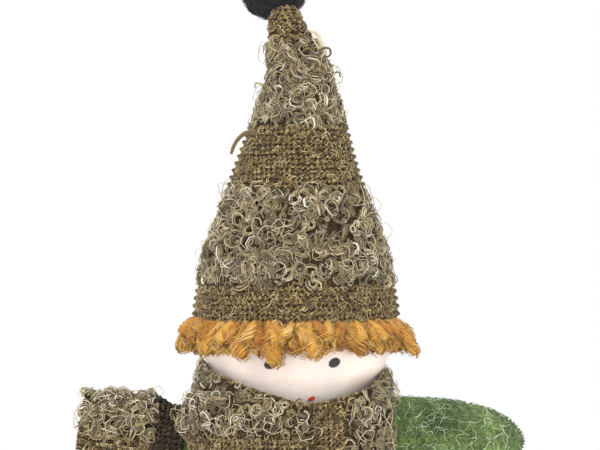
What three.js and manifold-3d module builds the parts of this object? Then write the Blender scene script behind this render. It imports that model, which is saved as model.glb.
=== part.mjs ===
// A hand-sewn tomte gnome doll that stands on a weighted base.
//
// A felted-wool coat body holds two stuffed arms, a stuffed jersey head and a pointed knitted hat
// with a felt ball on its tip. A knitted scarf is wrapped round the neck: one end hangs in front,
// and the other lies over the doll's right arm.
//
// Millimetres, +Z up. The face looks along -Y, the doll's own left hand is on +X, and the origin is
// the centre of the base where it stands on the table.

import * as THREE from "three";
import { mergeVertices } from "three/addons/utils/BufferGeometryUtils.js";
import Module from "manifold-3d";

const wasm = await Module();
wasm.setup();

// ---------------------------------------------------------------- driving dimensions

const GAP = 0.4; // kept between pieces that touch
const SEAM_GAP = 0.3; // between two panels that are sewn edge to edge
const THREAD = 0.5; // radius of the sewing thread
const ROUND = 24; // flats round a turned piece, the same for pieces that nest

const FELT = 2.5; // thickness of the felted wool
const JERSEY = 1.5; // thickness of the head's jersey
const KNIT = 4; // thickness of the hat's knit
const SCARF_KNIT = 6; // thickness of the scarf where it is wrapped
const END_KNIT = 4.4; // thickness of a free scarf end

const COAT_DEPTH = 0.86; // front-to-back size of the coat over its width
const SEAM_Y = 5; // plane of the side seams and of the arms
const COAT_HEM = 2.8; // height of the coat's lower edge
const COAT_LINE = [ // [half-width, height] from the hem to the neck edge
  [57.5, COAT_HEM], [61, 10], [58.2, 26], [50, 42], [42.5, 56], [39.2, 67],
  [38.8, 80], [39.5, 91], [37, 100], [31, 103], [23, 100.5], [16.5, 97],
];

const BASE_WIDTH = 57; // half-width of the felt disc under the coat
const BOARD_WIDTH = 50; // half-width of the stiff card on it
const BOARD = 2; // thickness of the card
const BALLAST = { width: 42, depth: 36, height: 11 }; // half-sizes of the sand bag

// An arm swings about the centre of its round root. The scarf's end presses the right one down.
const ARM_DEPTH = 16.5; // half-size from front to back
const ARM_FULLNESS = 2.6; // how blunt the end is
const ARMS = {
  arm_left: { x: 47, z: 89, root: 23.5, length: 67.4, raised: 0 },
  arm_right: { x: -43, z: 82, root: 20.5, length: 64.5, raised: 8 },
};

const HEAD = { radius: 47, height: 41, z: 141 }; // half-width, half-height and centre
const NECK = { radius: 13.2, bottom: 84 };

const EYE = { width: 2.7, height: 2.2, thickness: 0.9 };
const EYE_PLACES = { eye_left: [18.7, 130.4], eye_right: [-12.5, 129.6] }; // [x, z] on the face
const MOUTH_PLACE = [7.5, 112.5];
const MOUTH = { width: 2.6, height: 0.8, thickness: 0.7 };

const BRIM = 149; // height of the hat's lower edge
const HAT_LINE = [ // [half-width, height] from the brim to the tip
  [51.5, BRIM], [51.2, 157], [49, 169], [45.5, 185], [37.8, 207], [30.5, 228],
  [24.5, 247], [18.6, 264], [13.4, 285], [10, 297], [7, 304], [0, 307.3],
];
const HAT_LEAN = [ // [height, sideways shift of the hat's centre]
  [BRIM, 0], [225, 0], [255, 1.5], [274, 2], [286, -1.2], [299, -5], [310, -5],
];
const FRINGE = { inner: 47.7, outer: 59, bottom: 133 };

const BALL = { radius: 17, centre: [-11, 12, 317.5] };
const TIP_CENTRE = [-5, 0, 299]; // middle of the hat's round tip
const BALL_SWING = [-8, 25]; // degrees that the ball tips on its stitches

// The scarf's wrap, by the angle round the neck from the front: +90 degrees is the doll's left.
const WRAP = {
  left: 51.5, right: 52, rightFlare: 6, front: 52, back: 51, squareness: 2.6,
  frontTop: 111, sideRise: 17, frontBottom: 84.2, sideBottom: 116.5, backBottom: 104,
};
const FRONT_END = { x0: 9, x1: 49, y: -48.7, top: 81.6, bottom: 50 };
const SIDE_END = { from: 14, to: 66, drop: 5, back: 72 }; // along the arm, below its centre, degrees

// ---------------------------------------------------------------- materials

const cloth = (color, roughness) => new THREE.MeshStandardMaterial({ color, roughness, metalness: 0 });
const materials = {
  greenFelt: cloth("#6b7c52", 0.95),
  blackFelt: cloth("#252326", 0.95),
  jersey: cloth("#faf0e6", 0.8),
  knit: cloth("#756240", 0.95),
  boucle: cloth("#80735a", 0.95),
  hair: cloth("#be8e4c", 0.85),
  filling: cloth("#e9e6df", 1),
  cotton: cloth("#d8cfbd", 0.9),
  card: cloth("#a98d66", 0.9),
  blackThread: cloth("#1b1a1c", 0.6),
  redThread: cloth("#b8323a", 0.6),
  greenThread: cloth("#4c5b3a", 0.8),
  oliveThread: cloth("#5c4d33", 0.8),
};

// ---------------------------------------------------------------- solids

// A geometry as one indexed closed surface whose faces point outwards.
function closed(geometry) {
  const bare = new THREE.BufferGeometry();
  const source = geometry.index ? geometry.toNonIndexed() : geometry;
  bare.setAttribute("position", source.getAttribute("position").clone());
  const merged = mergeVertices(bare, 1e-3);
  const at = merged.getAttribute("position");
  const corners = merged.index.array;
  const [a, b, c] = [new THREE.Vector3(), new THREE.Vector3(), new THREE.Vector3()];
  const kept = [];
  let volume = 0;
  for (let i = 0; i < corners.length; i += 3) {
    const [p, q, r] = corners.slice(i, i + 3);
    if (p === q || q === r || r === p) continue;
    kept.push(p, q, r);
    a.fromBufferAttribute(at, p);
    b.fromBufferAttribute(at, q);
    c.fromBufferAttribute(at, r);
    volume += a.dot(b.cross(c));
  }
  if (volume < 0) kept.reverse();
  merged.setIndex(kept);
  return merged;
}

function solidOf(geometry) {
  const surface = closed(geometry);
  return new wasm.Manifold(new wasm.Mesh({
    numProp: 3,
    vertProperties: new Float32Array(surface.getAttribute("position").array),
    triVerts: new Uint32Array(surface.index.array),
  }));
}

function geometryOf(solid) {
  const { vertProperties, triVerts } = solid.getMesh();
  const geometry = new THREE.BufferGeometry();
  geometry.setAttribute("position", new THREE.BufferAttribute(vertProperties, 3));
  geometry.setIndex(new THREE.BufferAttribute(triVerts, 1));
  return geometry;
}

const cut = (solid, ...tools) => tools.reduce((rest, tool) => rest.subtract(tool), solid);

// The part of a solid in front of (side -1) or behind (side +1) a plane across Y.
function halfOf(solid, y, side) {
  const size = 1000;
  const block = new THREE.BoxGeometry(size, size, size);
  block.translate(0, y - side * (size / 2 - SEAM_GAP / 2), 0);
  return solid.subtract(solidOf(block));
}

// ---------------------------------------------------------------- profiles

const smooth = (pairs, steps) =>
  new THREE.SplineCurve(pairs.map(([r, z]) => new THREE.Vector2(r, z))).getPoints(steps);

// A profile moved sideways: positive distances go towards the axis on a profile that runs upwards.
function inset(points, distance) {
  return points.map((point, i) => {
    const before = points[Math.max(0, i - 1)];
    const after = points[Math.min(points.length - 1, i + 1)];
    const along = after.clone().sub(before).normalize();
    return new THREE.Vector2(Math.max(0, point.x - along.y * distance), point.y + along.x * distance);
  });
}

// A profile turned about Z; depth squeezes it front to back. An open profile is joined to itself.
function turned(profile, depth = 1) {
  const onAxis = profile[0].x < 1e-6 && profile.at(-1).x < 1e-6;
  const points = onAxis ? profile : [...profile, profile[0].clone()];
  return new THREE.LatheGeometry(points, ROUND).rotateX(Math.PI / 2).scale(1, depth, 1);
}

const shell = (outer, inner, depth) => turned([...outer, ...[...inner].reverse()], depth);

// Straight-line interpolation in a table of [place, value] rows.
function lookUp(table, place) {
  const next = table.findIndex(([at]) => at > place);
  if (next === 0) return table[0][1];
  if (next < 0) return table.at(-1)[1];
  const [[a, va], [b, vb]] = [table[next - 1], table[next]];
  return THREE.MathUtils.mapLinear(place, a, b, va, vb);
}

// A thread laid along points, as a six-sided tube.
function threadAlong(points, steps, radius = THREAD) {
  const section = new THREE.Shape();
  section.absarc(0, 0, radius, 0, 2 * Math.PI);
  return new THREE.ExtrudeGeometry(section, {
    extrudePath: new THREE.CatmullRomCurve3(points), steps, curveSegments: 3, bevelEnabled: false,
  });
}

// A section in the YZ plane, its own x along Y and its own y along Z, carried along X.
function alongX(section, length) {
  const settings = { depth: length, curveSegments: 8, bevelEnabled: false };
  const bar = new THREE.ExtrudeGeometry(section, settings);
  return bar.rotateX(Math.PI / 2).rotateZ(Math.PI / 2);
}

// Equal closed sections, joined in turn and the last to the first.
function ringOf(sections) {
  const n = sections[0].length;
  const positions = sections.flat().flatMap((p) => [p.x, p.y, p.z]);
  const faces = [];
  for (let i = 0; i < sections.length; i++) {
    const [row, next] = [i * n, ((i + 1) % sections.length) * n];
    for (let j = 0; j < n; j++) {
      const k = (j + 1) % n;
      faces.push(row + j, next + j, next + k, row + j, next + k, row + k);
    }
  }
  const geometry = new THREE.BufferGeometry();
  geometry.setAttribute("position", new THREE.Float32BufferAttribute(positions, 3));
  geometry.setIndex(faces);
  return closed(geometry);
}

// ---------------------------------------------------------------- the assembly

const gnome = new THREE.Group();

function add(name, material, shape, group = gnome) {
  const geometry = shape.isBufferGeometry ? shape : geometryOf(shape);
  const mesh = new THREE.Mesh(geometry, material);
  mesh.name = name;
  group.add(mesh);
  return mesh;
}

// ---------------------------------------------------------------- arms

// Half-height of an arm at a distance from its shoulder's centre: a round root, then a long
// paddle with a blunt round end.
function armHalfHeight(u, root, length) {
  if (u < 0) return Math.sqrt(Math.max(0, root ** 2 - u ** 2));
  return root * Math.sqrt(Math.max(0, 1 - (u / length) ** ARM_FULLNESS));
}

// An arm that points along +X from its shoulder's centre, made smaller all round by shrink.
function armBody(arm, shrink) {
  const [root, length] = [arm.root - shrink, arm.length - shrink];
  const steps = 14;
  const profile = [];
  for (let i = 0; i <= steps; i++) {
    const t = (i / steps) * Math.PI;
    const u = t < Math.PI / 2 ? -root * Math.cos(t) : length * Math.sin(t - Math.PI / 2);
    profile.push(new THREE.Vector2(i === 0 || i === steps ? 0 : armHalfHeight(u, root, length), u));
  }
  const squeeze = (ARM_DEPTH - shrink) / root;
  const body = new THREE.LatheGeometry(profile, 16).rotateZ(-Math.PI / 2);
  return body.scale(1, 1, squeeze).rotateX(Math.PI / 2);
}

// The sewing thread round the arm's outline, from above the shoulder over the tip to below it.
function armSeam({ root, length }) {
  const out = THREAD + GAP;
  const points = [];
  for (let i = 0; i <= 14; i++) {
    const t = THREE.MathUtils.mapLinear(i, 0, 14, 0.25, Math.PI - 0.25);
    const u = length * Math.sin(t);
    const side = Math.sign(Math.cos(t));
    const high = side * (armHalfHeight(u, root, length) + out);
    points.push(new THREE.Vector3(u + out * Math.sin(t) ** 8, 0, high));
  }
  points[7].z = 0;
  return threadAlong(points, 24);
}

// One arm in a group of its own, at its shoulder.
function addArm(name, arm) {
  const side = Math.sign(arm.x);
  const group = new THREE.Group();
  group.position.set(arm.x, SEAM_Y, arm.z);
  group.rotation.y = THREE.MathUtils.degToRad(-side * arm.raised);
  const facing = (geometry) => (side < 0 ? closed(geometry).rotateZ(Math.PI) : geometry);
  const hollow = cut(solidOf(facing(armBody(arm, 0))), solidOf(facing(armBody(arm, FELT))));
  add(name + "_front", materials.greenFelt, halfOf(hollow, 0, -1), group);
  add(name + "_back", materials.greenFelt, halfOf(hollow, 0, 1), group);
  add(name + "_stuffing", materials.filling, facing(armBody(arm, FELT + GAP)), group);
  add(name + "_seam_thread", materials.greenThread, facing(armSeam(arm)), group);
  gnome.add(group);
  return group;
}

addArm("arm_left", ARMS.arm_left);
const rightArm = addArm("arm_right", ARMS.arm_right);

// The hollows in the coat's sides that the arms' roots turn in.
const sockets = Object.values(ARMS).map(({ x, z, root }) => {
  const room = 2 * GAP;
  const ball = new THREE.SphereGeometry(1, 20, 14).scale(root + room, ARM_DEPTH + room, root + room);
  return solidOf(ball.translate(x, SEAM_Y, z));
});

// ---------------------------------------------------------------- coat and base

const coatLine = smooth(COAT_LINE, 12);
const coatInside = inset(coatLine, FELT);
const coat = cut(solidOf(shell(coatLine, coatInside, COAT_DEPTH)), ...sockets);
add("coat_front", materials.greenFelt, halfOf(coat, SEAM_Y, -1));
add("coat_back", materials.greenFelt, halfOf(coat, SEAM_Y, 1));

const baseFelt = COAT_HEM - GAP;
const baseDisc = new THREE.CylinderGeometry(BASE_WIDTH, BASE_WIDTH - 1, baseFelt, ROUND)
  .rotateX(Math.PI / 2).scale(1, COAT_DEPTH, 1).translate(0, 0, baseFelt / 2);
add("coat_base", materials.greenFelt, baseDisc);

const board = new THREE.CylinderGeometry(BOARD_WIDTH, BOARD_WIDTH, BOARD, ROUND)
  .rotateX(Math.PI / 2).scale(1, COAT_DEPTH, 1).translate(0, 0, COAT_HEM + BOARD / 2);
add("base_board", materials.card, board);

const boardTop = COAT_HEM + BOARD;
const ballastBag = (room) => new THREE.SphereGeometry(1, 20, 10).rotateX(Math.PI / 2)
  .scale(BALLAST.width + room, BALLAST.depth + room, BALLAST.height + room)
  .translate(0, 0, boardTop + GAP + BALLAST.height);
add("ballast_bag", materials.cotton, ballastBag(0));

// The filling takes the room that is left in the coat above the card and round the sand bag.
const fillingLine = inset(coatLine, FELT + GAP).filter((p) => p.y > boardTop + GAP);
const fillingFloor = fillingLine[0].y;
const fillingTop = fillingLine.at(-1).y;
const filling = turned(
  [new THREE.Vector2(0, fillingFloor), ...fillingLine, new THREE.Vector2(0, fillingTop)], COAT_DEPTH);
const neckHole = new THREE.CylinderGeometry(NECK.radius + GAP, NECK.radius + GAP, 60, 20)
  .rotateX(Math.PI / 2).translate(0, 0, NECK.bottom - GAP + 30);
const bodyFilling = cut(solidOf(filling), solidOf(neckHole), solidOf(ballastBag(GAP)), ...sockets);
add("body_stuffing", materials.filling, bodyFilling);

const hemThread = new THREE.TorusGeometry(BASE_WIDTH + THREAD + 2 * GAP, THREAD, 5, ROUND)
  .scale(1, COAT_DEPTH, 1).translate(0, 0, baseFelt / 2);
add("base_seam_thread", materials.greenThread, hemThread);

// The side seams run from the hem to the armhole, just outside the felt.
for (const [name, side] of [["side_seam_thread_left", 1], ["side_seam_thread_right", -1]]) {
  const out = THREAD + GAP;
  const points = inset(coatLine, -out).filter((p) => p.y > COAT_HEM + 3 && p.y < 56).map((p) =>
    new THREE.Vector3(side * p.x * Math.sqrt(1 - (SEAM_Y / (p.x * COAT_DEPTH)) ** 2), SEAM_Y, p.y));
  add(name, materials.greenThread, threadAlong(points, 10));
}

// ---------------------------------------------------------------- head

const head = new THREE.Group();
gnome.add(head);

// The head's outline from the neck's lower end up to the crown.
function headLine(shrink) {
  const steps = 10;
  const [r, h] = [HEAD.radius - shrink, HEAD.height - shrink];
  const neck = NECK.radius - shrink;
  const start = Math.asin(neck / r);
  const points = [new THREE.Vector2(neck, NECK.bottom)];
  for (let i = 0; i <= steps; i++) {
    const t = THREE.MathUtils.mapLinear(i, 0, steps, start, Math.PI);
    points.push(new THREE.Vector2(i === steps ? 0 : r * Math.sin(t), HEAD.z - h * Math.cos(t)));
  }
  return points;
}

const neckMiddle = new THREE.Vector2(0, NECK.bottom);
add("head_skin", materials.jersey, shell(headLine(0), headLine(JERSEY)), head);
add("head_stuffing", materials.filling, turned([neckMiddle, ...headLine(JERSEY + GAP)]), head);

// A flat oval of stitches on the face, square to its surface.
function onFace(geometry, [x, z], thickness) {
  const up = (z - HEAD.z) / HEAD.height;
  const y = -Math.sqrt(HEAD.radius ** 2 * (1 - up ** 2) - x ** 2);
  const [round, tall] = [HEAD.radius ** 2, HEAD.height ** 2];
  const normal = new THREE.Vector3(x / round, y / round, (z - HEAD.z) / tall).normalize();
  const place = new THREE.Vector3(x, y, z).addScaledVector(normal, thickness + GAP);
  const turn = new THREE.Quaternion().setFromUnitVectors(new THREE.Vector3(0, -1, 0), normal);
  return geometry.applyQuaternion(turn).translate(place.x, place.y, place.z);
}

for (const [name, place] of Object.entries(EYE_PLACES)) {
  const eye = new THREE.SphereGeometry(1, 10, 6).scale(EYE.width, EYE.thickness, EYE.height);
  add(name, materials.blackThread, onFace(eye, place, EYE.thickness), head);
}
const mouth = new THREE.SphereGeometry(1, 8, 5).scale(MOUTH.width, MOUTH.thickness, MOUTH.height);
add("mouth_stitch", materials.redThread, onFace(mouth, MOUTH_PLACE, MOUTH.thickness), head);

const tie = new THREE.TorusGeometry(NECK.radius + 0.7 + GAP, 0.7, 5, 20).translate(0, 0, 100.2);
add("neck_tie_thread", materials.oliveThread, tie, head);

// ---------------------------------------------------------------- hair

// The tape lies between the head and the hat, and the curls hang from it below the brim.
const headWidthAt = (z) => HEAD.radius * Math.sqrt(1 - ((z - HEAD.z) / HEAD.height) ** 2);
const tapeLine = [BRIM, BRIM + 4.5, BRIM + 9].map((z) => new THREE.Vector2(headWidthAt(z) + GAP, z));
const tapeOuter = tapeLine.map((p) => new THREE.Vector2(p.x + 0.8, p.y));
add("hair_tape", materials.cotton, shell(tapeOuter, tapeLine), head);

const { inner, outer, bottom } = FRINGE;
const fringe = [
  [outer - 6, bottom], [outer - 1.5, 135], [outer, 140], [outer - 2.5, 145.5], [inner + 4, BRIM - GAP],
  [inner, BRIM - GAP], [inner, bottom],
].map(([r, z]) => new THREE.Vector2(r, z));
add("hair_fringe", materials.hair, turned(fringe), head);

// ---------------------------------------------------------------- hat and ball

// Shifts each point sideways by its height, so that the hat's tip leans.
function lean(geometry) {
  const at = geometry.getAttribute("position");
  for (let i = 0; i < at.count; i++) at.setX(i, at.getX(i) + lookUp(HAT_LEAN, at.getZ(i)));
  return geometry;
}

const ballCentre = new THREE.Vector3(...BALL.centre);
const towardsTip = new THREE.Vector3(...TIP_CENTRE).sub(ballCentre).normalize();
const stitchPoint = ballCentre.clone().addScaledVector(towardsTip, BALL.radius);

// The room that the ball needs on the hat's tip as it tips about its stitches.
const ballRoom = [BALL_SWING[0], 0, BALL_SWING[1] / 2, BALL_SWING[1]].map((degrees) => {
  const centre = ballCentre.clone().sub(stitchPoint)
    .applyAxisAngle(new THREE.Vector3(0, 1, 0), THREE.MathUtils.degToRad(degrees)).add(stitchPoint);
  const ball = new THREE.SphereGeometry(BALL.radius + GAP, 16, 12);
  return solidOf(ball.translate(centre.x, centre.y, centre.z));
});

const hatLine = smooth(HAT_LINE, 12);
hatLine.at(-1).x = 0;
const hatInside = inset(hatLine, KNIT).filter((p) => p.x > 2 && p.y >= BRIM - 1);
hatInside[0].y = BRIM;
hatInside.push(new THREE.Vector2(0, hatInside.at(-1).y + 1.5));
const hat = cut(solidOf(lean(shell(hatLine, hatInside))), ...ballRoom);
add("hat_front", materials.knit, halfOf(hat, 0, -1), head);
add("hat_back", materials.knit, halfOf(hat, 0, 1), head);

// The hat's filling stands on the crown of the head.
const crown = turned([neckMiddle, ...headLine(-GAP)]);
const hatFillingLine = inset(hatLine, KNIT + GAP).filter((p) => p.y > BRIM + 12 && p.x > 2);
const hatFilling = lean(turned([
  new THREE.Vector2(0, hatFillingLine[0].y),
  ...hatFillingLine,
  new THREE.Vector2(0, hatFillingLine.at(-1).y + 1),
]));
add("hat_stuffing", materials.filling, cut(solidOf(hatFilling), solidOf(crown)), head);

for (const [name, side] of [["hat_seam_thread_left", 1], ["hat_seam_thread_right", -1]]) {
  const out = THREAD + GAP;
  const points = inset(hatLine, -out).filter((p) => p.y > BRIM + 2 && p.y < 296).map((p) =>
    new THREE.Vector3(side * p.x + lookUp(HAT_LEAN, p.y), 0, p.y));
  add(name, materials.oliveThread, threadAlong(points, 18), head);
}

// The felt ball is sewn on with a thread that runs right through it to a knot.
const threadHole = new THREE.CylinderGeometry(THREAD + GAP, THREAD + GAP, 3 * BALL.radius, 10);
const sewingThread = new THREE.CylinderGeometry(THREAD, THREAD, 2 * BALL.radius, 8);
const knot = new THREE.SphereGeometry(1.3, 10, 8).translate(0, -BALL.radius - 1.3, 0);
const alongThread = new THREE.Quaternion().setFromUnitVectors(new THREE.Vector3(0, 1, 0), towardsTip);
const inBall = (geometry) => geometry.applyQuaternion(alongThread)
  .translate(ballCentre.x, ballCentre.y, ballCentre.z);
const ball = inBall(new THREE.SphereGeometry(BALL.radius, 20, 14));
add("bobble_ball", materials.blackFelt, cut(solidOf(ball), solidOf(inBall(threadHole))), head);
const stitch = solidOf(inBall(sewingThread.translate(0, -0.9, 0))).add(solidOf(inBall(knot)));
add("bobble_thread", materials.blackThread, stitch, head);

// ---------------------------------------------------------------- scarf

// Rises smoothly from 0 to 1 as the angle goes from one edge to the other.
const rise = (angle, from, to) => THREE.MathUtils.smoothstep(Math.abs(angle), from, to);

// Distance from the neck's axis to the wrap's outside, at an angle and a height.
function wrapReach(degrees, z) {
  const angle = THREE.MathUtils.degToRad(degrees);
  const low = 1 - THREE.MathUtils.smoothstep(z, 104, 116);
  const width = degrees > 0 ? WRAP.left : WRAP.right + WRAP.rightFlare * low;
  const depth = Math.abs(degrees) < 90 ? WRAP.front : WRAP.back;
  const n = WRAP.squareness;
  return (Math.abs(Math.sin(angle) / width) ** n + Math.abs(Math.cos(angle) / depth) ** n) ** (-1 / n);
}

// The wrap: low in front where it covers the chin and chest, narrow over each arm.
const wrapSections = [];
for (let degrees = -180; degrees < 180; degrees += 9) {
  const angle = THREE.MathUtils.degToRad(degrees);
  const forward = Math.abs(degrees) < 90 ? Math.abs(Math.sin(angle)) ** 1.3 : 1;
  const top = WRAP.frontTop + WRAP.sideRise * forward;
  const side = THREE.MathUtils.lerp(WRAP.frontBottom, WRAP.sideBottom, rise(degrees, 66, 75));
  const low = THREE.MathUtils.lerp(side, WRAP.backBottom, rise(degrees, 124, 142));
  const edge = SCARF_KNIT / 2;
  const ring = [];
  for (const [inward, z] of [
    [0, low + edge], [0, (low + top) / 2], [0, top - edge], [0.3, top - 0.6], [0.7, top - 0.6],
    [1, top - edge], [1, (low + top) / 2], [1, low + edge], [0.7, low], [0.3, low],
  ]) {
    const reach = wrapReach(degrees, z) - inward * SCARF_KNIT;
    ring.push(new THREE.Vector3(reach * Math.sin(angle), -reach * Math.cos(angle), z));
  }
  wrapSections.push(ring);
}
add("scarf_wrap", materials.boucle, ringOf(wrapSections));

// The end that hangs in front, with a round upper edge that it turns about.
const frontEnd = new THREE.Shape();
const halfKnit = END_KNIT / 2;
frontEnd.absarc(0, 0, halfKnit, 0, Math.PI);
frontEnd.lineTo(-halfKnit, FRONT_END.bottom - FRONT_END.top);
frontEnd.lineTo(halfKnit, FRONT_END.bottom - FRONT_END.top);
const frontEndSolid = alongX(frontEnd, FRONT_END.x1 - FRONT_END.x0)
  .translate(FRONT_END.x0, FRONT_END.y, FRONT_END.top);
add("scarf_front_end", materials.boucle, frontEndSolid);

// The end that lies over the right arm: down its front, over its top and a little down its back.
function sideEndLine(out) {
  const [depth, height] = [ARM_DEPTH + out, ARMS.arm_right.root + out];
  const line = [new THREE.Vector2(-depth, -SIDE_END.drop)];
  for (let degrees = -90; degrees <= SIDE_END.back; degrees += 18) {
    const angle = THREE.MathUtils.degToRad(degrees);
    line.push(new THREE.Vector2(depth * Math.sin(angle), height * Math.cos(angle)));
  }
  return line;
}
const overThread = 2 * (THREAD + GAP);
const sideEnd = new THREE.Shape(
  [...sideEndLine(overThread), ...sideEndLine(overThread + END_KNIT).reverse()]);
const sideEndSolid = alongX(sideEnd, SIDE_END.to - SIDE_END.from).translate(-SIDE_END.to, 0, 0);
add("scarf_side_end", materials.boucle, sideEndSolid, rightArm);

// A few tacking stitches hold the wrap's crossing together on the chest.
const tack = threadAlong([-3, 0, 3].map((z) =>
  new THREE.Vector3(FRONT_END.x0 - 1, -(WRAP.front + THREAD + GAP), 98 + z)), 4);
add("scarf_tack_thread", materials.oliveThread, tack);

export default gnome;
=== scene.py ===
import bpy
import numpy as np
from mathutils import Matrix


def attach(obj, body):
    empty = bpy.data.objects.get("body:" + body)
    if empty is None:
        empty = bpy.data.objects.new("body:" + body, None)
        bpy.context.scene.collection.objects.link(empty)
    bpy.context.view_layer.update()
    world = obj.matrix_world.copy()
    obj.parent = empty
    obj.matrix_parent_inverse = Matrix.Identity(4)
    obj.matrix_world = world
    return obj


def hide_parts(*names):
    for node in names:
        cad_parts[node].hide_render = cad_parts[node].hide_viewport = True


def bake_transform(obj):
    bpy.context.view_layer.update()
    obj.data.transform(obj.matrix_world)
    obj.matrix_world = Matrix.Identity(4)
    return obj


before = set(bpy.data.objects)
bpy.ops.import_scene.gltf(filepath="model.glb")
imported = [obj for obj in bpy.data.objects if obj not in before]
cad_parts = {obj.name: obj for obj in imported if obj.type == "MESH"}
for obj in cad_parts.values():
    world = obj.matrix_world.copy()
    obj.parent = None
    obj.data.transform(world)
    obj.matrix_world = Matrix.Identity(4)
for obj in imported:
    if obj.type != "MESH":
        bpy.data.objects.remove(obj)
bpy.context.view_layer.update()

# ---------------------------------------------------------------- camera, light and floor
# A long lens looks level at the doll from the front. Four large soft boxes and a bright white room
# light it evenly, and it stands on a wide round of pale paper.

VIEW_CENTRE = (0.002, 0.1975)
VIEW_WIDTH = 0.300
CAMERA_AWAY = 1.6

camera_data = bpy.data.cameras.new("camera")
camera_data.sensor_width = 36.0
camera_data.lens = 36.0 * CAMERA_AWAY / VIEW_WIDTH
camera = bpy.data.objects.new("camera", camera_data)
camera.location = (VIEW_CENTRE[0], -CAMERA_AWAY, VIEW_CENTRE[1])
camera.rotation_euler = (np.pi / 2, 0, 0)
bpy.context.scene.collection.objects.link(camera)
bpy.context.scene.camera = camera
bpy.context.scene.view_settings.view_transform = "Standard"


def soft_box(name, place, target, size, power):
    """A square area light at a place, turned so that it faces a target point."""
    light = bpy.data.lights.new(name, "AREA")
    light.shape = "SQUARE"
    light.size = size
    light.energy = power
    lamp = bpy.data.objects.new(name, light)
    lamp.location = place
    away = np.subtract(place, target)
    lamp.rotation_euler = (
        np.arctan2(np.hypot(away[0], away[1]), away[2]), 0, np.arctan2(away[0], -away[1]))
    bpy.context.scene.collection.objects.link(lamp)


MIDDLE = (0, 0, 0.2)
soft_box("key_light", (-0.7, -1.2, 1.3), MIDDLE, 0.9, 11)
soft_box("fill_light", (0.9, -1.5, 0.20), MIDDLE, 1.2, 18)
soft_box("front_light", (-0.5, -1.7, 0.05), MIDDLE, 1.2, 23)
soft_box("rim_light", (0.2, 1.0, 1.4), MIDDLE, 1.0, 8)

world = bpy.data.worlds.new("room")
world.use_nodes = True
room = world.node_tree.nodes["Background"]
room.inputs["Color"].default_value = (1, 1, 1, 1)
room.inputs["Strength"].default_value = 1.0
bpy.context.scene.world = world


def new_piece(name, points, faces, material):
    """A mesh object from an array of points and an array of faces with equally many corners."""
    mesh = bpy.data.meshes.new(name)
    faces = np.asarray(faces, np.int32)
    mesh.vertices.add(len(points))
    mesh.vertices.foreach_set("co", np.asarray(points, np.float32).ravel())
    mesh.loops.add(faces.size)
    mesh.loops.foreach_set("vertex_index", faces.ravel())
    mesh.polygons.add(len(faces))
    mesh.polygons.foreach_set("loop_start", np.arange(0, faces.size, faces.shape[1], dtype=np.int32))
    mesh.polygons.foreach_set("use_smooth", np.ones(len(faces), bool))
    mesh.materials.append(material)
    mesh.update(calc_edges=True)
    piece = bpy.data.objects.new(name, mesh)
    bpy.context.scene.collection.objects.link(piece)
    return piece


def grid_faces(rows, columns, joined=False):
    """Quads between neighbouring points of a grid stored row by row. A joined grid's last column
    meets its first."""
    row, column = np.meshgrid(np.arange(rows - 1), np.arange(columns - (not joined)), indexing="ij")
    after = (column + 1) % columns
    corners = (row * columns + column, row * columns + after,
               (row + 1) * columns + after, (row + 1) * columns + column)
    return np.stack(corners, -1).reshape(-1, 4)


def tone(red, green, blue):
    """A colour given by its three display values from 0 to 255, as the light values a shader takes."""
    display = np.array([red, green, blue]) / 255
    light = np.where(display > 0.04045, ((display + 0.055) / 1.055) ** 2.4, display / 12.92)
    return (*light.tolist(), 1.0)


class Finish:
    """A material whose nodes are added one by one, each joined to the ones that it reads."""

    def __init__(self, name, roughness, sheen=0.0):
        self.material = bpy.data.materials.new(name)
        self.material.use_nodes = True
        self.nodes = self.material.node_tree.nodes
        self.shader = self.nodes["Principled BSDF"]
        self.shader.inputs["Roughness"].default_value = roughness
        self.shader.inputs["Sheen Weight"].default_value = sheen
        self.shader.inputs["Sheen Roughness"].default_value = 0.5
        self.shader.inputs["Specular IOR Level"].default_value = 0.25

    def node(self, kind, settings=(), **inputs):
        """A new shader node of a kind, with its settings and with a value or a link for each input."""
        made = self.nodes.new("ShaderNode" + kind)
        for name, value in dict(settings).items():
            setattr(made, name, value)
        for name, value in inputs.items():
            self.join(value, made.inputs[name.replace("_", " ")])
        return made

    def join(self, value, socket):
        """Links a socket's value to another socket, or sets a plain number or colour on it."""
        if isinstance(value, bpy.types.NodeSocket):
            self.material.node_tree.links.new(value, socket)
        else:
            socket.default_value = value

    def speckle(self, scale, detail=2.0, roughness=0.6):
        """Noise of a given number of spots to the metre, in the piece's own coordinates."""
        place = self.node("TexCoord").outputs["Object"]
        return self.node("TexNoise", Vector=place, Scale=scale, Detail=detail,
                         Roughness=roughness).outputs["Fac"]

    def stored(self, name):
        """A number that each point of the mesh carries."""
        return self.node("Attribute", {"attribute_name": name}).outputs["Fac"]

    def sum(self, first, second, share):
        """The first value plus a share of the second, which is taken about its own middle of a half."""
        moved = self.node("Math", {"operation": "SUBTRACT"})
        self.join(second, moved.inputs[0])
        moved.inputs[1].default_value = 0.5
        scaled = self.node("Math", {"operation": "MULTIPLY_ADD"})
        self.join(moved.outputs[0], scaled.inputs[0])
        scaled.inputs[1].default_value = share
        self.join(first, scaled.inputs[2])
        return scaled.outputs[0]

    def ramp(self, value, *stops):
        """Colours at given places from 0 to 1, mixed between them."""
        made = self.node("ValToRGB", Fac=value)
        band = made.color_ramp
        while len(band.elements) < len(stops):
            band.elements.new(0.5)
        for element, (place, colour) in zip(band.elements, stops):
            element.position = place
            element.color = colour
        return made.outputs["Color"]

    def colour(self, value):
        """The finish takes its base colour from a value."""
        self.join(value, self.shader.inputs["Base Color"])

    def bumps(self, height, depth):
        """Small bumps, where depth is their height in metres."""
        made = self.node("Bump", Height=height, Distance=depth)
        self.join(made.outputs["Normal"], self.shader.inputs["Normal"])


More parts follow.
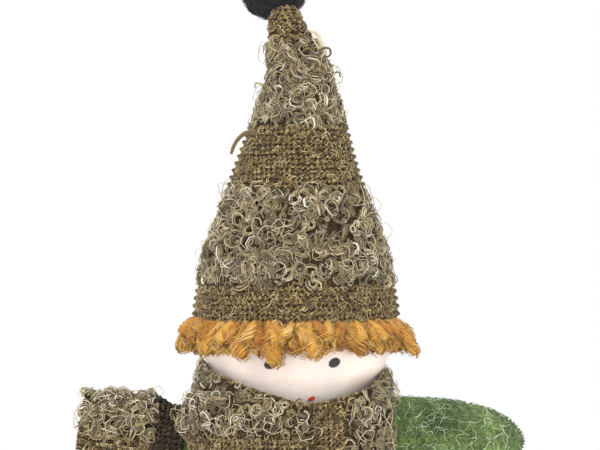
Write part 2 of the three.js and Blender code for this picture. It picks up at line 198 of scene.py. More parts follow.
paper = Finish("paper", 0.9)
paper.colour(paper.ramp(paper.speckle(30), (0, tone(244, 243, 241)), (1, tone(250, 249, 247))))

FLOOR_INNER, FLOOR_RADIUS, FLOOR_Z = 0.02, 1.15, -0.0002
FLOOR_ROWS, FLOOR_CORNERS = 16, 96
around = np.linspace(0, 2 * np.pi, FLOOR_CORNERS, endpoint=False)
circle = np.stack([np.cos(around), np.sin(around)], -1)
rings = np.linspace(FLOOR_INNER, FLOOR_RADIUS, FLOOR_ROWS)[:, None, None] * circle
level = np.full((FLOOR_ROWS, FLOOR_CORNERS, 1), FLOOR_Z)
floor = new_piece("floor", np.concatenate([rings, level], -1).reshape(-1, 3),
                  grid_faces(FLOOR_ROWS, FLOOR_CORNERS, joined=True)[:, ::-1], paper.material)

# ---------------------------------------------------------------- base
# A felt disc closes the coat underneath. A round of card keeps it flat, and a cotton bag of sand on
# the card gives the doll its weight.

felt = Finish("green_felt", 0.95, sheen=0.15)
mottle = felt.sum(felt.speckle(45, 4), felt.speckle(330, 5, 0.7), 0.9)
mottle = felt.sum(mottle, felt.speckle(1500, 3, 0.7), 0.5)
felt.colour(felt.ramp(mottle, (0.25, tone(34, 50, 16)), (0.45, tone(78, 98, 42)),
                      (0.58, tone(110, 136, 66)), (0.8, tone(160, 184, 112))))
felt.bumps(felt.sum(felt.speckle(420, 6, 0.75), felt.speckle(1700, 3, 0.8), 0.8), 0.0016)

COAT_DEPTH = 0.86
BASE_RADIUS = 0.057
BASE_FELT = 0.0024
BASE_EDGE = 0.0012


def turned(radius, height, depth, corners):
    """A closed round skin: a profile of radii and heights, from the axis below to the axis above, is
    turned about Z and made narrower from front to back by depth."""
    angle = np.linspace(0, 2 * np.pi, corners, endpoint=False)
    ring = np.stack([np.cos(angle), depth * np.sin(angle)], -1)
    sides = radius[1:-1, None, None] * ring
    tall = np.broadcast_to(height[1:-1, None, None], (*sides.shape[:2], 1))
    points = np.concatenate([sides, tall], -1).reshape(-1, 3)
    body = grid_faces(len(radius) - 2, corners, joined=True)
    body = np.concatenate([body[:, [0, 1, 2]], body[:, [0, 2, 3]]])
    first, last = np.arange(corners), np.arange(corners) + len(points) - corners
    poles = np.array([[0, 0, height[0]], [0, 0, height[-1]]])
    below = np.stack([np.full(corners, len(points)), np.roll(first, -1), first], -1)
    above = np.stack([np.full(corners, len(points) + 1), last, np.roll(last, -1)], -1)
    return np.concatenate([points, poles]), np.concatenate([body, below, above])


edge = np.linspace(-np.pi / 2, np.pi / 2, 9)
disc_radius = np.concatenate([[0], np.linspace(0.01, 0.05, 5),
                              BASE_RADIUS - BASE_EDGE + BASE_EDGE * np.cos(edge),
                              np.linspace(0.05, 0.01, 5), [0]])
disc_height = np.concatenate([np.zeros(6), BASE_FELT / 2 * (1 + np.sin(edge)), np.full(6, BASE_FELT)])
base_disc = new_piece("base_disc", *turned(disc_radius, disc_height, COAT_DEPTH, 96), felt.material)
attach(base_disc, "body")
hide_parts("coat_base")

# Thread goes up and over the edge of the disc all round, and holds it to the hem of the coat.


def unit(vectors):
    """Each vector divided by its own length."""
    return vectors / np.maximum(np.linalg.norm(vectors, axis=-1, keepdims=True), 1e-12)


def strands(paths, radius, sides=3):
    """Closed round strands. At each point of a path, a ring of corners is set square to the way the path
    goes, turned as little as possible from the ring before, and each end closes in one point."""
    paths = np.asarray(paths, float)
    count, steps = paths.shape[:2]
    ahead = unit(np.gradient(paths, axis=1))
    side = np.empty_like(ahead)
    side[:, 0] = unit(np.cross(ahead[:, 0], (0.31, 0.52, 0.79)))
    for step in range(1, steps):
        before = side[:, step - 1]
        side[:, step] = unit(before - ahead[:, step] * np.sum(before * ahead[:, step], -1, keepdims=True))
    turn = np.arange(sides) * 2 * np.pi / sides
    ring = (np.cos(turn)[:, None] * side[:, :, None]
            + np.sin(turn)[:, None] * np.cross(ahead, side)[:, :, None])
    radius = np.broadcast_to(radius, (count, steps))[..., None]
    tube = (paths[:, :, None] + radius[..., None] * ring).reshape(count, -1, 3)
    first = paths[:, :1] - 0.6 * radius[:, :1] * ahead[:, :1]
    last = paths[:, -1:] + 0.6 * radius[:, -1:] * ahead[:, -1:]
    points = np.concatenate([tube, first, last], 1)
    quads = grid_faces(steps, sides, joined=True)
    corner = np.arange(sides)
    after = np.roll(corner, -1)
    far = (steps - 1) * sides
    pole = np.full(sides, steps * sides)
    faces = np.concatenate([
        quads[:, [0, 1, 2]], quads[:, [0, 2, 3]],
        np.stack([pole, after, corner], -1), np.stack([pole + 1, far + corner, far + after], -1)])
    faces = faces + np.arange(count)[:, None, None] * points.shape[1]
    return points.reshape(-1, 3), faces.reshape(-1, 3)


def stitches(middle, across, out, reach, lift, steps=7):
    """The path of one stitch at each middle point: from reach on one side to reach on the other, along
    across, rising along out in half a sine wave and dipping into the cloth at both ends."""
    share = np.linspace(0, 1, steps)
    along = (2 * share - 1)[:, None] * reach * unit(across)[:, None]
    up = (lift * (1.6 * np.sin(np.pi * share) - 0.6))[:, None] * unit(out)[:, None]
    return middle[:, None] + along + up


green_thread = Finish("green_thread", 0.6, sheen=0.3)
green_thread.colour(green_thread.ramp(green_thread.speckle(900), (0.3, tone(58, 76, 42)),
                                      (0.7, tone(92, 112, 66))))
green_thread.bumps(green_thread.speckle(3500), 0.0004)
THREAD = 0.0004
HEM_STITCHES, HEM_HEIGHT = 84, 0.0034


def thread_piece(name, paths, body, node):
    """A seam of green thread from the paths of its stitches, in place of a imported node."""
    piece = new_piece(name, *strands(paths, THREAD, 5), green_thread.material)
    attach(piece, body)
    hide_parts(node)


hem_angle = np.linspace(0, 2 * np.pi, HEM_STITCHES, endpoint=False)
hem_out = np.stack([np.cos(hem_angle), COAT_DEPTH * np.sin(hem_angle), 0 * hem_angle], -1)
hem_middle = BASE_RADIUS * hem_out + (0, 0, HEM_HEIGHT)
hem_lean = np.stack([-0.3 * np.sin(hem_angle), 0.3 * np.cos(hem_angle), 1 + 0 * hem_angle], -1)
thread_piece("hem_stitches", stitches(hem_middle, hem_lean, hem_out, 0.0022, 0.0012), "body",
             "base_seam_thread")

card = Finish("grey_card", 0.85)
card.colour(card.ramp(card.speckle(260, 4), (0.3, tone(150, 140, 122)), (0.7, tone(182, 172, 152))))
card.bumps(card.speckle(1200, 4), 0.0003)
cotton = Finish("cotton", 0.9, sheen=0.2)
cotton.colour(cotton.ramp(cotton.speckle(700, 3), (0.3, tone(214, 206, 188)), (0.7, tone(240, 234, 220))))
cotton.bumps(cotton.speckle(2200, 3), 0.0005)


def finish_node(name, material):
    """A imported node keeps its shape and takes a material."""
    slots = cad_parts[name].data.materials
    slots.clear()
    slots.append(material)


finish_node("base_board", card.material)
finish_node("ballast_bag", cotton.material)

# ---------------------------------------------------------------- coat
# Two panels of green wool felt, front and back, are stuffed with wadding and stitched together up
# the sides. The sides have a dent on each side of the neck where an arm is sewn in.

COAT_LINE = np.array([[57.5, 2.8], [61, 10], [58.2, 26], [50, 42], [42.5, 56], [39.2, 67], [38.8, 80],
                      [39.5, 91], [37, 100], [31, 103], [23, 100.5], [16.5, 97]]) / 1000
SEAM_Y = 0.005
SEAM_DIP = 0.0016
SHOULDERS = {"arm_left": (0.047, 0.089, 0.0235), "arm_right": (-0.043, 0.082, 0.0205)}
ARM_DEPTH = 0.0165
SOCKET_ROOM = 0.0008
CHORD_GAP = 0.0002
SIDE_SEAM = (0.0075, 0.064, 0.0042)


def smooth_line(corners, count):
    """A smooth line through the corners, each stretch a cubic whose slope at a corner is half the step
    between its neighbours, given at evenly spaced distances."""
    slope = np.gradient(corners, axis=0)
    share = np.linspace(0, 1, 24, endpoint=False)[:, None]
    parts = [
        (2 * share**3 - 3 * share**2 + 1) * corners[i] + (share**3 - 2 * share**2 + share) * slope[i]
        + (3 * share**2 - 2 * share**3) * corners[i + 1] + (share**3 - share**2) * slope[i + 1]
        for i in range(len(corners) - 1)]
    line = np.concatenate(parts + [corners[-1:]])
    walked = np.concatenate([[0], np.cumsum(np.linalg.norm(np.diff(line, axis=0), axis=1))])
    even = np.linspace(0, walked[-1], count)
    return np.stack([np.interp(even, walked, line[:, axis]) for axis in range(line.shape[1])], -1)


def closed_skin(rings, first, last):
    """A closed skin through rings of points, which go counterclockwise as the rings go on, with a pole
    point before the first ring and one after the last."""
    rows, corners = rings.shape[:2]
    body = grid_faces(rows, corners, joined=True)
    start, end = np.arange(corners), np.arange(corners) + (rows - 1) * corners
    pole = np.full(corners, rows * corners)
    faces = np.concatenate([
        body[:, [0, 1, 2]], body[:, [0, 2, 3]],
        np.stack([pole, np.roll(start, -1), start], -1), np.stack([pole + 1, end, np.roll(end, -1)], -1)])
    return np.concatenate([rings.reshape(-1, 3), [first, last]]), faces


def seam_pinch(share):
    """How far a panel dips at its two edges, from 1 at the seam to 0 a little way in."""
    return np.exp(-((np.minimum(share, 1 - share) / 0.035) ** 2))


def coat_panel(front, rows=110, columns=110):
    """The outer grid of one panel: a half ellipse at each height of the coat's line, from one side seam
    to the other, dipping at the seams and dented round the roots of the arms."""
    line = smooth_line(COAT_LINE, rows)
    radius, height = line[:, :1], line[:, 1:]
    seam = np.arcsin(SEAM_Y / (COAT_DEPTH * radius))
    share = np.linspace(0, 1, columns)
    low, high = (np.pi - seam, 2 * np.pi + seam) if front else (seam, np.pi - seam)
    angle = low + (high - low) * share
    reach = radius - SEAM_DIP * seam_pinch(share)
    x, y = reach * np.cos(angle), COAT_DEPTH * reach * np.sin(angle)
    z = np.broadcast_to(height, x.shape)
    for place_x, place_z, root in SHOULDERS.values():
        deep = ARM_DEPTH + SOCKET_ROOM
        flat = ((z - place_z) / (root + SOCKET_ROOM)) ** 2 + ((y - SEAM_Y) / deep) ** 2
        hollow = (root + SOCKET_ROOM) * np.sqrt(np.clip(1 - flat, 0, None))
        inner = np.abs(place_x) - hollow
        dented = (flat < 1) & (x * place_x > 0)
        x = np.where(dented, np.sign(place_x) * np.minimum(np.abs(x), inner), x)
    return np.stack([x, y, z], -1)


def with_back(grid, depth):
    """Rings that go along each row of a grid and return along a straight chord, so that a panel is a
    closed half body. The chord lies in the seam's plane, depth further in."""
    columns = grid.shape[1]
    share = np.linspace(0, 1, columns // 3 + 2)[1:-1][None, :, None]
    chord = grid[:, -1:] * (1 - share) + grid[:, :1] * share
    chord[..., 1] += depth
    return np.concatenate([grid, chord], 1)


for side, depth in (("front", -CHORD_GAP), ("back", CHORD_GAP)):
    panel = coat_panel(side == "front")
    rings = with_back(panel, depth)
    middle = rings[[0, -1]].mean(1)
    piece = new_piece("coat_" + side + "_felt", *closed_skin(rings, middle[0], middle[1]), felt.material)
    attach(piece, "body")
    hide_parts("coat_" + side, *(["body_stuffing"] if side == "front" else []))

seam_height = np.arange(*SIDE_SEAM)
side_line = smooth_line(COAT_LINE[:8], 60)
coat_half = np.interp(seam_height, side_line[:, 1], side_line[:, 0])
for side, sign in (("left", 1), ("right", -1)):
    middle = np.stack([sign * (coat_half - SEAM_DIP), SEAM_Y + 0 * seam_height, seam_height], -1)
    paths = stitches(middle, np.tile([0, 1, 0.35], (len(middle), 1)),
                     np.tile([sign, 0, 0], (len(middle), 1)), 0.0024, 0.0014)
    thread_piece("coat_side_stitches_" + side, paths, "body", "side_seam_thread_" + side)

# The felt is matted wool, so stray fibres lie all over it.


class Surface:
    """A surface given by a grid of points, with the way out of it at each. Rows go up and columns go
    counterclockwise. A place on it is a row and a column, which need not be whole."""

    def __init__(self, grid):
        up, across = np.gradient(grid, axis=(0, 1))
        self.grid, self.out = grid, unit(np.cross(across, up))
        self.steps = np.stack([np.linalg.norm(up, axis=-1), np.linalg.norm(across, axis=-1)], -1)

    def read(self, values, row, column):
        """Values mixed from the four grid points round each place."""
        row = np.clip(row, 0, self.grid.shape[0] - 1.001)
        column = np.clip(column, 0, self.grid.shape[1] - 1.001)
        low, near = row.astype(int), column.astype(int)
        up, over = (row - low)[..., None], (column - near)[..., None]
        return ((values[low, near] * (1 - over) + values[low, near + 1] * over) * (1 - up)
                + (values[low + 1, near] * (1 - over) + values[low + 1, near + 1] * over) * up)

    def lay(self, row, column, up, across, height):
        """Points at a distance up and across from places, and at a height off the surface."""
        steps = np.maximum(self.read(self.steps, row, column), 1e-5)
        row = row + up / steps[..., 0]
        column = column + across / steps[..., 1]
        height = np.broadcast_to(height, row.shape)[..., None]
        return self.read(self.grid, row, column) + height * self.read(self.out, row, column)

    def scatter(self, count, chance, allowed=None):
        """Random places, as many to each bit of area, and only in cells whose middles are allowed."""
        cells = self.steps[:-1, :-1, 0] * self.steps[:-1, :-1, 1]
        if allowed is not None:
            cells = cells * allowed(self.grid[:-1, :-1])
        picked = chance.choice(cells.size, count, p=cells.ravel() / cells.sum())
        row, column = np.unravel_index(picked, cells.shape)
        return row + chance.random(count), column + chance.random(count)


def stray_fibres(surface, chance, count, length, radius, lift, steps=7, allowed=None, base=0.0):
    """Fine fibres that wander over a surface, at a base height: each sets off in a random direction,
    curves steadily with a wave on top, and rises further off the cloth in the middle."""
    row, column = surface.scatter(count, chance, allowed)
    heading = chance.uniform(0, 2 * np.pi, (count, 1))
    share = np.linspace(0, 1, steps)[None]
    bend = chance.normal(0, 2.2, (count, 1)) * share
    wave = chance.uniform(0.2, 1.0, (count, 1))
    bend = bend + wave * np.sin(9 * share + chance.uniform(0, 2 * np.pi, (count, 1)))
    stride = length * chance.uniform(0.5, 1.4, (count, 1)) / (steps - 1)
    up = np.cumsum(stride * np.sin(heading + bend), 1)
    across = np.cumsum(stride * np.cos(heading + bend), 1)
    rise = base + lift * chance.uniform(0.2, 1.0, (count, 1)) * np.sin(np.pi * share)
    thick = radius * chance.uniform(0.6, 1.3, (count, 1)) * (1 - 0.5 * share)
    return surface.lay(row[:, None], column[:, None], up, across, rise), thick


def add_tint(piece, tint):
    """Each point of the mesh carries a number from 0 to 1 that its material turns into a colour."""
    piece.data.attributes.new("tint", "FLOAT", "POINT").data.foreach_set(
        "value", np.ascontiguousarray(tint, np.float32).ravel())


def fibre_piece(name, paths, radius, material, tints, sides=3):
    """One mesh of many strands, with one tint for each strand."""
    points, faces = strands(paths, radius, sides)
    piece = new_piece(name, points, faces, material)
    add_tint(piece, np.repeat(tints, len(points) // len(tints)))
    return piece


felt_fibre = Finish("felt_fibre", 0.9, sheen=0.2)
felt_fibre.colour(felt_fibre.ramp(felt_fibre.stored("tint"), (0, tone(40, 58, 26)), (0.4, tone(88, 112, 56)),
                                  (0.7, tone(140, 166, 108)), (1, tone(214, 226, 200))))
COAT_FIBRES, COAT_FIBRE = 1150, {"length": 0.012, "radius": 0.00016, "lift": 0.0011}
FIBRES_TOP = 0.095

chance = np.random.default_rng(11)
for side in ("front", "back"):
    surface = Surface(coat_panel(side == "front"))
    paths, thick = stray_fibres(surface, chance, COAT_FIBRES, **COAT_FIBRE,
                                allowed=lambda points: points[..., 2] < FIBRES_TOP)
    piece = fibre_piece("coat_" + side + "_fibres", paths, thick, felt_fibre.material,
                        chance.beta(1.6, 2.2, COAT_FIBRES))
    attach(piece, "body")

# ---------------------------------------------------------------- arms
# Each arm is a mitten-like pocket of two felt panels stuffed with wadding, whip-stitched along the top
# and the bottom, and sewn by its round root to the coat. The right one is held a little higher.

ARM_FULLNESS = 2.6
FELT_NAP = 0.0010
ARM_LENGTHS = {"arm_left": 0.0674, "arm_right": 0.0645}
ARM_RAISED = {"arm_left": 0.0, "arm_right": np.radians(8)}
ARM_CHORD_GAP = 0.00015
ARM_FIBRES, ARM_FIBRE = 680, {"length": 0.011, "radius": 0.00017, "lift": 0.0012}
ARM_STITCHES, ARM_STITCH_IN = 44, 0.0011


def arm_height(distance, root, length):
    """Half the height of an arm at a distance from its shoulder: a circle behind it, and in front a
    full, blunt curve that ends at the length."""
    behind = np.sqrt(np.clip(root**2 - distance**2, 0, None))
    ahead = root * np.clip(1 - (np.abs(distance) / length) ** ARM_FULLNESS, 0, None) ** (1 / 2)
    return np.where(distance < 0, behind, ahead)


def in_arm(name, along, across, up):
    """Points of an arm's own frame put in place: along from the shoulder, across the body, and up."""
    x, z, _ = SHOULDERS[name]
    sign = np.sign(x)
    tilt = ARM_RAISED[name]
    return np.stack([x + sign * (along * np.cos(tilt) - up * np.sin(tilt)), SEAM_Y + across + 0 * up,
                     z + along * np.sin(tilt) + up * np.cos(tilt)], -1)


def arm_panel(name, front, rows=84, columns=52):
    """The outer grid of one arm panel: half ellipses along the arm from the top seam to the bottom one,
    dipping at both, with shallow hollows where the stuffing has settled."""
    root, length = SHOULDERS[name][2] - FELT_NAP, ARM_LENGTHS[name] - FELT_NAP
    turn = np.linspace(np.pi - 0.08, 0.08, rows)[:, None]
    along = np.where(turn > np.pi / 2, root * np.cos(turn), length * np.cos(turn))
    half = arm_height(along, root, length)
    facing = -1 if front else 1
    share = np.linspace(0, 1, columns)
    angle = np.pi * share if facing * SHOULDERS[name][0] < 0 else np.pi * (1 - share)
    dip = 1 - 0.05 * seam_pinch(share) + 0.012 * np.sin(along * 210) * np.sin(3 * angle + along * 90)
    across = facing * half * dip * (ARM_DEPTH - FELT_NAP) / root * np.sin(angle)
    up = half * dip * np.cos(angle)
    return in_arm(name, np.broadcast_to(along, up.shape), across, up)


for name in SHOULDERS:
    root, length = SHOULDERS[name][2] - FELT_NAP, ARM_LENGTHS[name] - FELT_NAP
    sign = np.sign(SHOULDERS[name][0])
    for side, depth in (("front", -ARM_CHORD_GAP), ("back", ARM_CHORD_GAP)):
        panel = arm_panel(name, side == "front")
        ends = in_arm(name, np.array([-root, length]), 0.0, np.zeros(2)) + (0, depth, 0)
        piece = new_piece(name + "_" + side + "_felt", *closed_skin(with_back(panel, depth), *ends),
                          felt.material)
        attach(piece, name)
        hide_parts(name + "_" + side, *([name + "_stuffing"] if side == "front" else []))
        paths, thick = stray_fibres(Surface(panel), chance, ARM_FIBRES, **ARM_FIBRE)
        fibres = fibre_piece(name + "_" + side + "_fibres", paths, thick, felt_fibre.material,
                             chance.beta(1.3, 1.5, ARM_FIBRES))
        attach(fibres, name)

    bend = np.linspace(0.3, np.pi - 0.3, ARM_STITCHES)
    along = length * np.sin(bend)
    above = np.sign(np.cos(bend))
    edge = arm_height(along, root, length) * above - ARM_STITCH_IN * above
    middle = in_arm(name, along, 0.0, edge)
    outward = unit(np.cross(np.gradient(middle, axis=0), (0, sign, 0)))
    paths = stitches(middle, np.tile([0.45 * sign, 1, 0], (len(middle), 1)), outward, 0.0022, 0.0013)
    thread_piece(name + "_stitches", paths, name, name + "_seam_thread")

# ---------------------------------------------------------------- head
# The head is a ball of wadding in a bag of fine, pale jersey. Its neck is tied and sewn down into the
# coat, and its cheeks are rubbed with a little pink.

HEAD_RADIUS, HEAD_HEIGHT, HEAD_Z = 0.047, 0.041, 0.141
NECK_RADIUS, NECK_BOTTOM = 0.0132, 0.084
CHEEKS_X, CHEEKS_Z = (-0.031, 0.033), 0.118

jersey = Finish("pale_jersey", 0.75, sheen=0.25)
jersey.shader.inputs["Subsurface Weight"].default_value = 0.3
jersey.shader.inputs["Subsurface Radius"].default_value = (0.007, 0.0045, 0.0035)
# Painted light on the face: low tints, in the middle of the face, give a darker colour that tones down the
# light there. The lighter, pinker colours of higher tints go on the sides and the chin, to lift the shade
# from the hair and the scarf, as well as on the pink cheeks.
jersey.colour(jersey.ramp(jersey.sum(jersey.stored("tint"), jersey.speckle(380, 5, 0.7), 0.25),
                          (0, tone(223, 207, 198)), (0.35, tone(251, 236, 225)), (1, tone(251, 206, 190))))
jersey.bumps(jersey.sum(jersey.speckle(2600, 2), jersey.speckle(120, 3), 1.2), 0.0004)


def head_line(count):
    """Radii and heights of the head from the bottom of its neck to its crown: the neck, a round throat,
    and then the ball, which is a little wider than it is high."""
    start = -np.arccos(0.30)
    turn = np.linspace(start, np.pi / 2, count)
    ball = np.stack([HEAD_RADIUS * np.cos(turn), HEAD_Z + HEAD_HEIGHT * np.sin(turn)], -1)
    neck = np.array([[NECK_RADIUS, height] for height in (NECK_BOTTOM, 0.090, 0.097)])
    return np.concatenate([[[0, NECK_BOTTOM]], neck, ball])


line = head_line(84)
line[-1, 0] = 0
points, faces = turned(line[:, 0], line[:, 1], 1.0, 120)
head_skin = new_piece("head_jersey", points, faces, jersey.material)
low = ((points[:, 2] - CHEEKS_Z) / 0.009) ** 2
cheeks = sum(np.exp(-((points[:, 0] - x) / 0.010) ** 2 - low) for x in CHEEKS_X)
# The cheeks take their real pink. The sides and the chin are tinted too: painted light, lighter and pinker,
# that lifts the shade cast there by the hair and the scarf.
sides = np.clip((np.abs(points[:, 0]) - 0.018) / 0.028, 0, 1)
chin = np.clip((0.128 - points[:, 2]) / 0.020, 0, 1)
add_tint(head_skin, np.clip(0.30 * cheeks + 0.42 * (sides + chin), 0, 1))
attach(head_skin, "head")
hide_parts("head_skin", "head_stuffing")
finish_node("neck_tie_thread", cotton.material)

# ---------------------------------------------------------------- eyes and mouth
# Each eye is a small oval of black thread worked in satin stitch, and the mouth is a few short stitches
# of red thread.

black_thread = Finish("black_thread", 0.45, sheen=0.2)
black_thread.colour(black_thread.ramp(black_thread.speckle(2200), (0.3, tone(22, 21, 24)),
                                      (0.8, tone(74, 72, 76))))
black_thread.bumps(black_thread.speckle(5200), 0.0002)
red_thread = Finish("red_thread", 0.5, sheen=0.2)
red_thread.colour(red_thread.ramp(red_thread.speckle(1600), (0.3, tone(186, 34, 30)),
                                  (0.8, tone(226, 72, 58))))
red_thread.bumps(red_thread.speckle(5200), 0.0002)
# Places across and up, half widths and half heights, and tilts.
EYES = {"left": ((0.0187, 0.1304), (0.0027, 0.0023), 0.15),
        "right": ((-0.0125, 0.1296), (0.0027, 0.0023), -0.15)}
MOUTH = ((0.0076, 0.1124), (0.0017, 0.0009), 0.35)


def on_head(x, z, lift):
    """Points of the face at places across and up, at a lift off the jersey."""
    tall = (z - HEAD_Z) / HEAD_HEIGHT
    y = -np.sqrt(np.clip(HEAD_RADIUS**2 * (1 - tall**2) - x**2, 0, None))
    out = unit(np.stack([x / HEAD_RADIUS**2, y / HEAD_RADIUS**2, (z - HEAD_Z) / HEAD_HEIGHT**2], -1))
    return np.stack([x, y, z], -1) + lift[..., None] * out


def satin_oval(name, oval, count, thread, material, replaced):
    """Side by side stitches across an oval on the face, each a low arch from edge to edge."""
    centre, (half_width, half_height), tilt = oval
    place = np.linspace(-0.92, 0.92, count)[:, None]
    reach = np.sqrt(1 - place**2)
    share = np.linspace(-1, 1, 9)[None]
    across = place * half_width + 0.22 * half_width * share * reach
    up = share * reach * half_height + 0 * place
    x = centre[0] + across * np.cos(tilt) - up * np.sin(tilt)
    z = centre[1] + across * np.sin(tilt) + up * np.cos(tilt)
    lift = 0.0007 * (1 - share**4) * (0.6 + 0.6 * reach) - 0.0002
    piece = new_piece(name, *strands(on_head(x, z, lift), thread, 6), material)
    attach(piece, "head")
    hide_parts(replaced)


for side, oval in EYES.items():
    satin_oval("eye_" + side + "_stitches", oval, 11, 0.00030, black_thread.material, "eye_" + side)
satin_oval("mouth_stitches", MOUTH, 6, 0.00034, red_thread.material, "mouth_stitch")

# ---------------------------------------------------------------- hair
# Tufts of ginger wool are sewn by their tops to a cotton tape under the brim, all round the head. Each
# is a plump, soft roll of fleece with finer strands wound round it.

HAIR_TOP = 0.1515
HAIR_REACH = 0.0470
TUFTS_ROUND = 52
STRAND = 0.00020
BACK_LONGER = 0.0065
# Rows of tufts from the head outwards: lowest and highest end, radius, flare, strands and shade. The shade
# is painted shade: it darkens the row nearest the head, which lies under the others, and lightens the outer
# row.
TUFT_ROWS = ((0.1340, 0.1375, 0.0029, 0.0030, 8, -0.20), (0.1325, 0.1375, 0.0030, 0.0065, 24, 0.0),
             (0.1375, 0.1430, 0.0029, 0.0082, 24, 0.06))
# Tufts that stray from the rows: angle, end, radius, sway and flare.
STRAY_TUFTS = ((-0.235, 0.1270, 0.0044, 0.03, 0.0080), (0.135, 0.1310, 0.0038, 0.0, 0.0080),
               (0.58, 0.1323, 0.0034, 0.02, 0.0085), (-0.51, 0.1308, 0.0035, 0.02, 0.0085),
               (-0.86, 0.1322, 0.0034, -0.04, 0.0090), (1.12, 0.1318, 0.0028, 0.14, 0.0150),
               (1.34, 0.1345, 0.0026, 0.10, 0.0110), (-1.40, 0.1335, 0.0028, -0.08, 0.0105))

hair_finish = Finish("ginger_wool", 0.5, sheen=0.12)
hair_finish.colour(hair_finish.ramp(
    hair_finish.sum(hair_finish.stored("tint"), hair_finish.speckle(420, 4, 0.7), 0.5),
    (0, tone(92, 46, 8)), (0.3, tone(170, 106, 28)), (0.55, tone(214, 156, 58)),
    (0.78, tone(242, 198, 106)), (1, tone(253, 232, 176))))
hair_finish.bumps(
    hair_finish.sum(hair_finish.speckle(1700, 4, 0.7), hair_finish.speckle(360, 3), 1.5), 0.0011)
finish_node("hair_tape", cotton.material)


def tuft(chance, angle, bottom, plump, sway, flare, strand_count, steps=10):
    """The body and the strands of one tuft. Its middle line leaves the tape, swells outwards and falls
    to its end with a slow wave. The body's radius grows and then rounds off like the end of a finger,
    and the strands wind round it together, each from its own side."""
    share = np.linspace(0, 1, steps)[None]
    height = HAIR_TOP + (bottom + 0.6 * plump - HAIR_TOP) * share**0.9
    reach = HAIR_REACH + flare * np.sin(np.pi / 2 * np.clip(1.15 * share, 0, 1))
    swing = angle + sway * share**1.4 + 0.016 * np.sin(5 * share + chance.uniform(0, 2 * np.pi))
    thick = plump * (0.42 + 0.58 * np.sin(np.pi / 2 * np.clip(share / 0.55, 0, 1)))
    thick = thick * np.sqrt(1 - (np.clip(share - 0.78, 0, 1) / 0.235) ** 2)
    body = np.stack([reach * np.sin(swing), -reach * np.cos(swing), height], -1)
    turns = chance.uniform(0.4, 1.1) * chance.choice([-1, 1]) + chance.normal(0, 0.35, (strand_count, 1))
    turn = chance.uniform(0, 2 * np.pi, (strand_count, 1)) + 2 * np.pi * turns * share
    wave = np.sin(7 * share + chance.uniform(0, 2 * np.pi, (strand_count, 1)))
    wide = thick * (chance.uniform(0.85, 1.25, (strand_count, 1)) + 0.16 * wave) + 0.0002
    swing = swing + (wide * np.cos(turn) + chance.normal(0, 0.0003, turn.shape)) / (HAIR_REACH + flare)
    reach = reach + wide * np.sin(turn)
    height = height + chance.normal(0, 0.0007, (strand_count, 1)) * (0.3 + share) - 0.4 * thick * share**6
    return body, 0.92 * thick, np.stack([reach * np.sin(swing), -reach * np.cos(swing), height], -1)


chance = np.random.default_rng(23)
tufts = []
for place, (lowest, highest, plump, flare, strand_count, shade) in enumerate(TUFT_ROWS):
    for number in range(TUFTS_ROUND):
        angle = 2 * np.pi * (number + 0.37 * place) / TUFTS_ROUND - np.pi + chance.uniform(-0.07, 0.07)
        end = chance.uniform(lowest, highest) - BACK_LONGER * np.clip((np.abs(angle) - 1.6) / 0.8, 0, 1)
        made = tuft(chance, angle, end, plump * chance.uniform(0.68, 1.3),
                    chance.uniform(-0.14, 0.14), flare + chance.uniform(-0.0022, 0.0012), strand_count)
        tufts.append((*made, shade, np.abs(angle) < np.pi / 2))
for angle, bottom, plump, sway, flare in STRAY_TUFTS:
    tufts.append((*tuft(chance, angle, bottom, plump, sway, flare, 30), 0.08, True))

for name, in_front in (("hair_front", True), ("hair_back", False)):
    here = [made[:4] for made in tufts if made[4] == in_front]
    bodies, thicks, strand_paths, shades = zip(*here)
    # Each tuft keeps its row's painted shade plus a random tone of its own.
    shades = np.array(shades) + chance.uniform(-0.16, 0.16, len(here))
    body_points, body_faces = strands(np.concatenate(bodies), np.concatenate(thicks), 9)
    counts = [len(paths) for paths in strand_paths]
    strand_points, strand_faces = strands(np.concatenate(strand_paths), STRAND)
    # Painted shade: the bodies get a lower tint than the strands round them, so that they show dark in the
    # gaps between the strands.
    body_tint = np.repeat(0.37 + shades, len(body_points) // len(here))
    strand_tint = 0.50 + np.repeat(shades, counts) + chance.normal(0, 0.16, sum(counts))
    strand_tint = np.repeat(strand_tint, len(strand_points) // sum(counts))
    piece = new_piece(name, np.concatenate([body_points, strand_points]),
                      np.concatenate([body_faces, strand_faces + len(body_points)]), hair_finish.material)
    add_tint(piece, np.clip(np.concatenate([body_tint, strand_tint]), 0, 1))
    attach(piece, "head")
    if in_front:
        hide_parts("hair_fringe")

# Fine curls lie loosely over the tufts and fill the gaps between them.


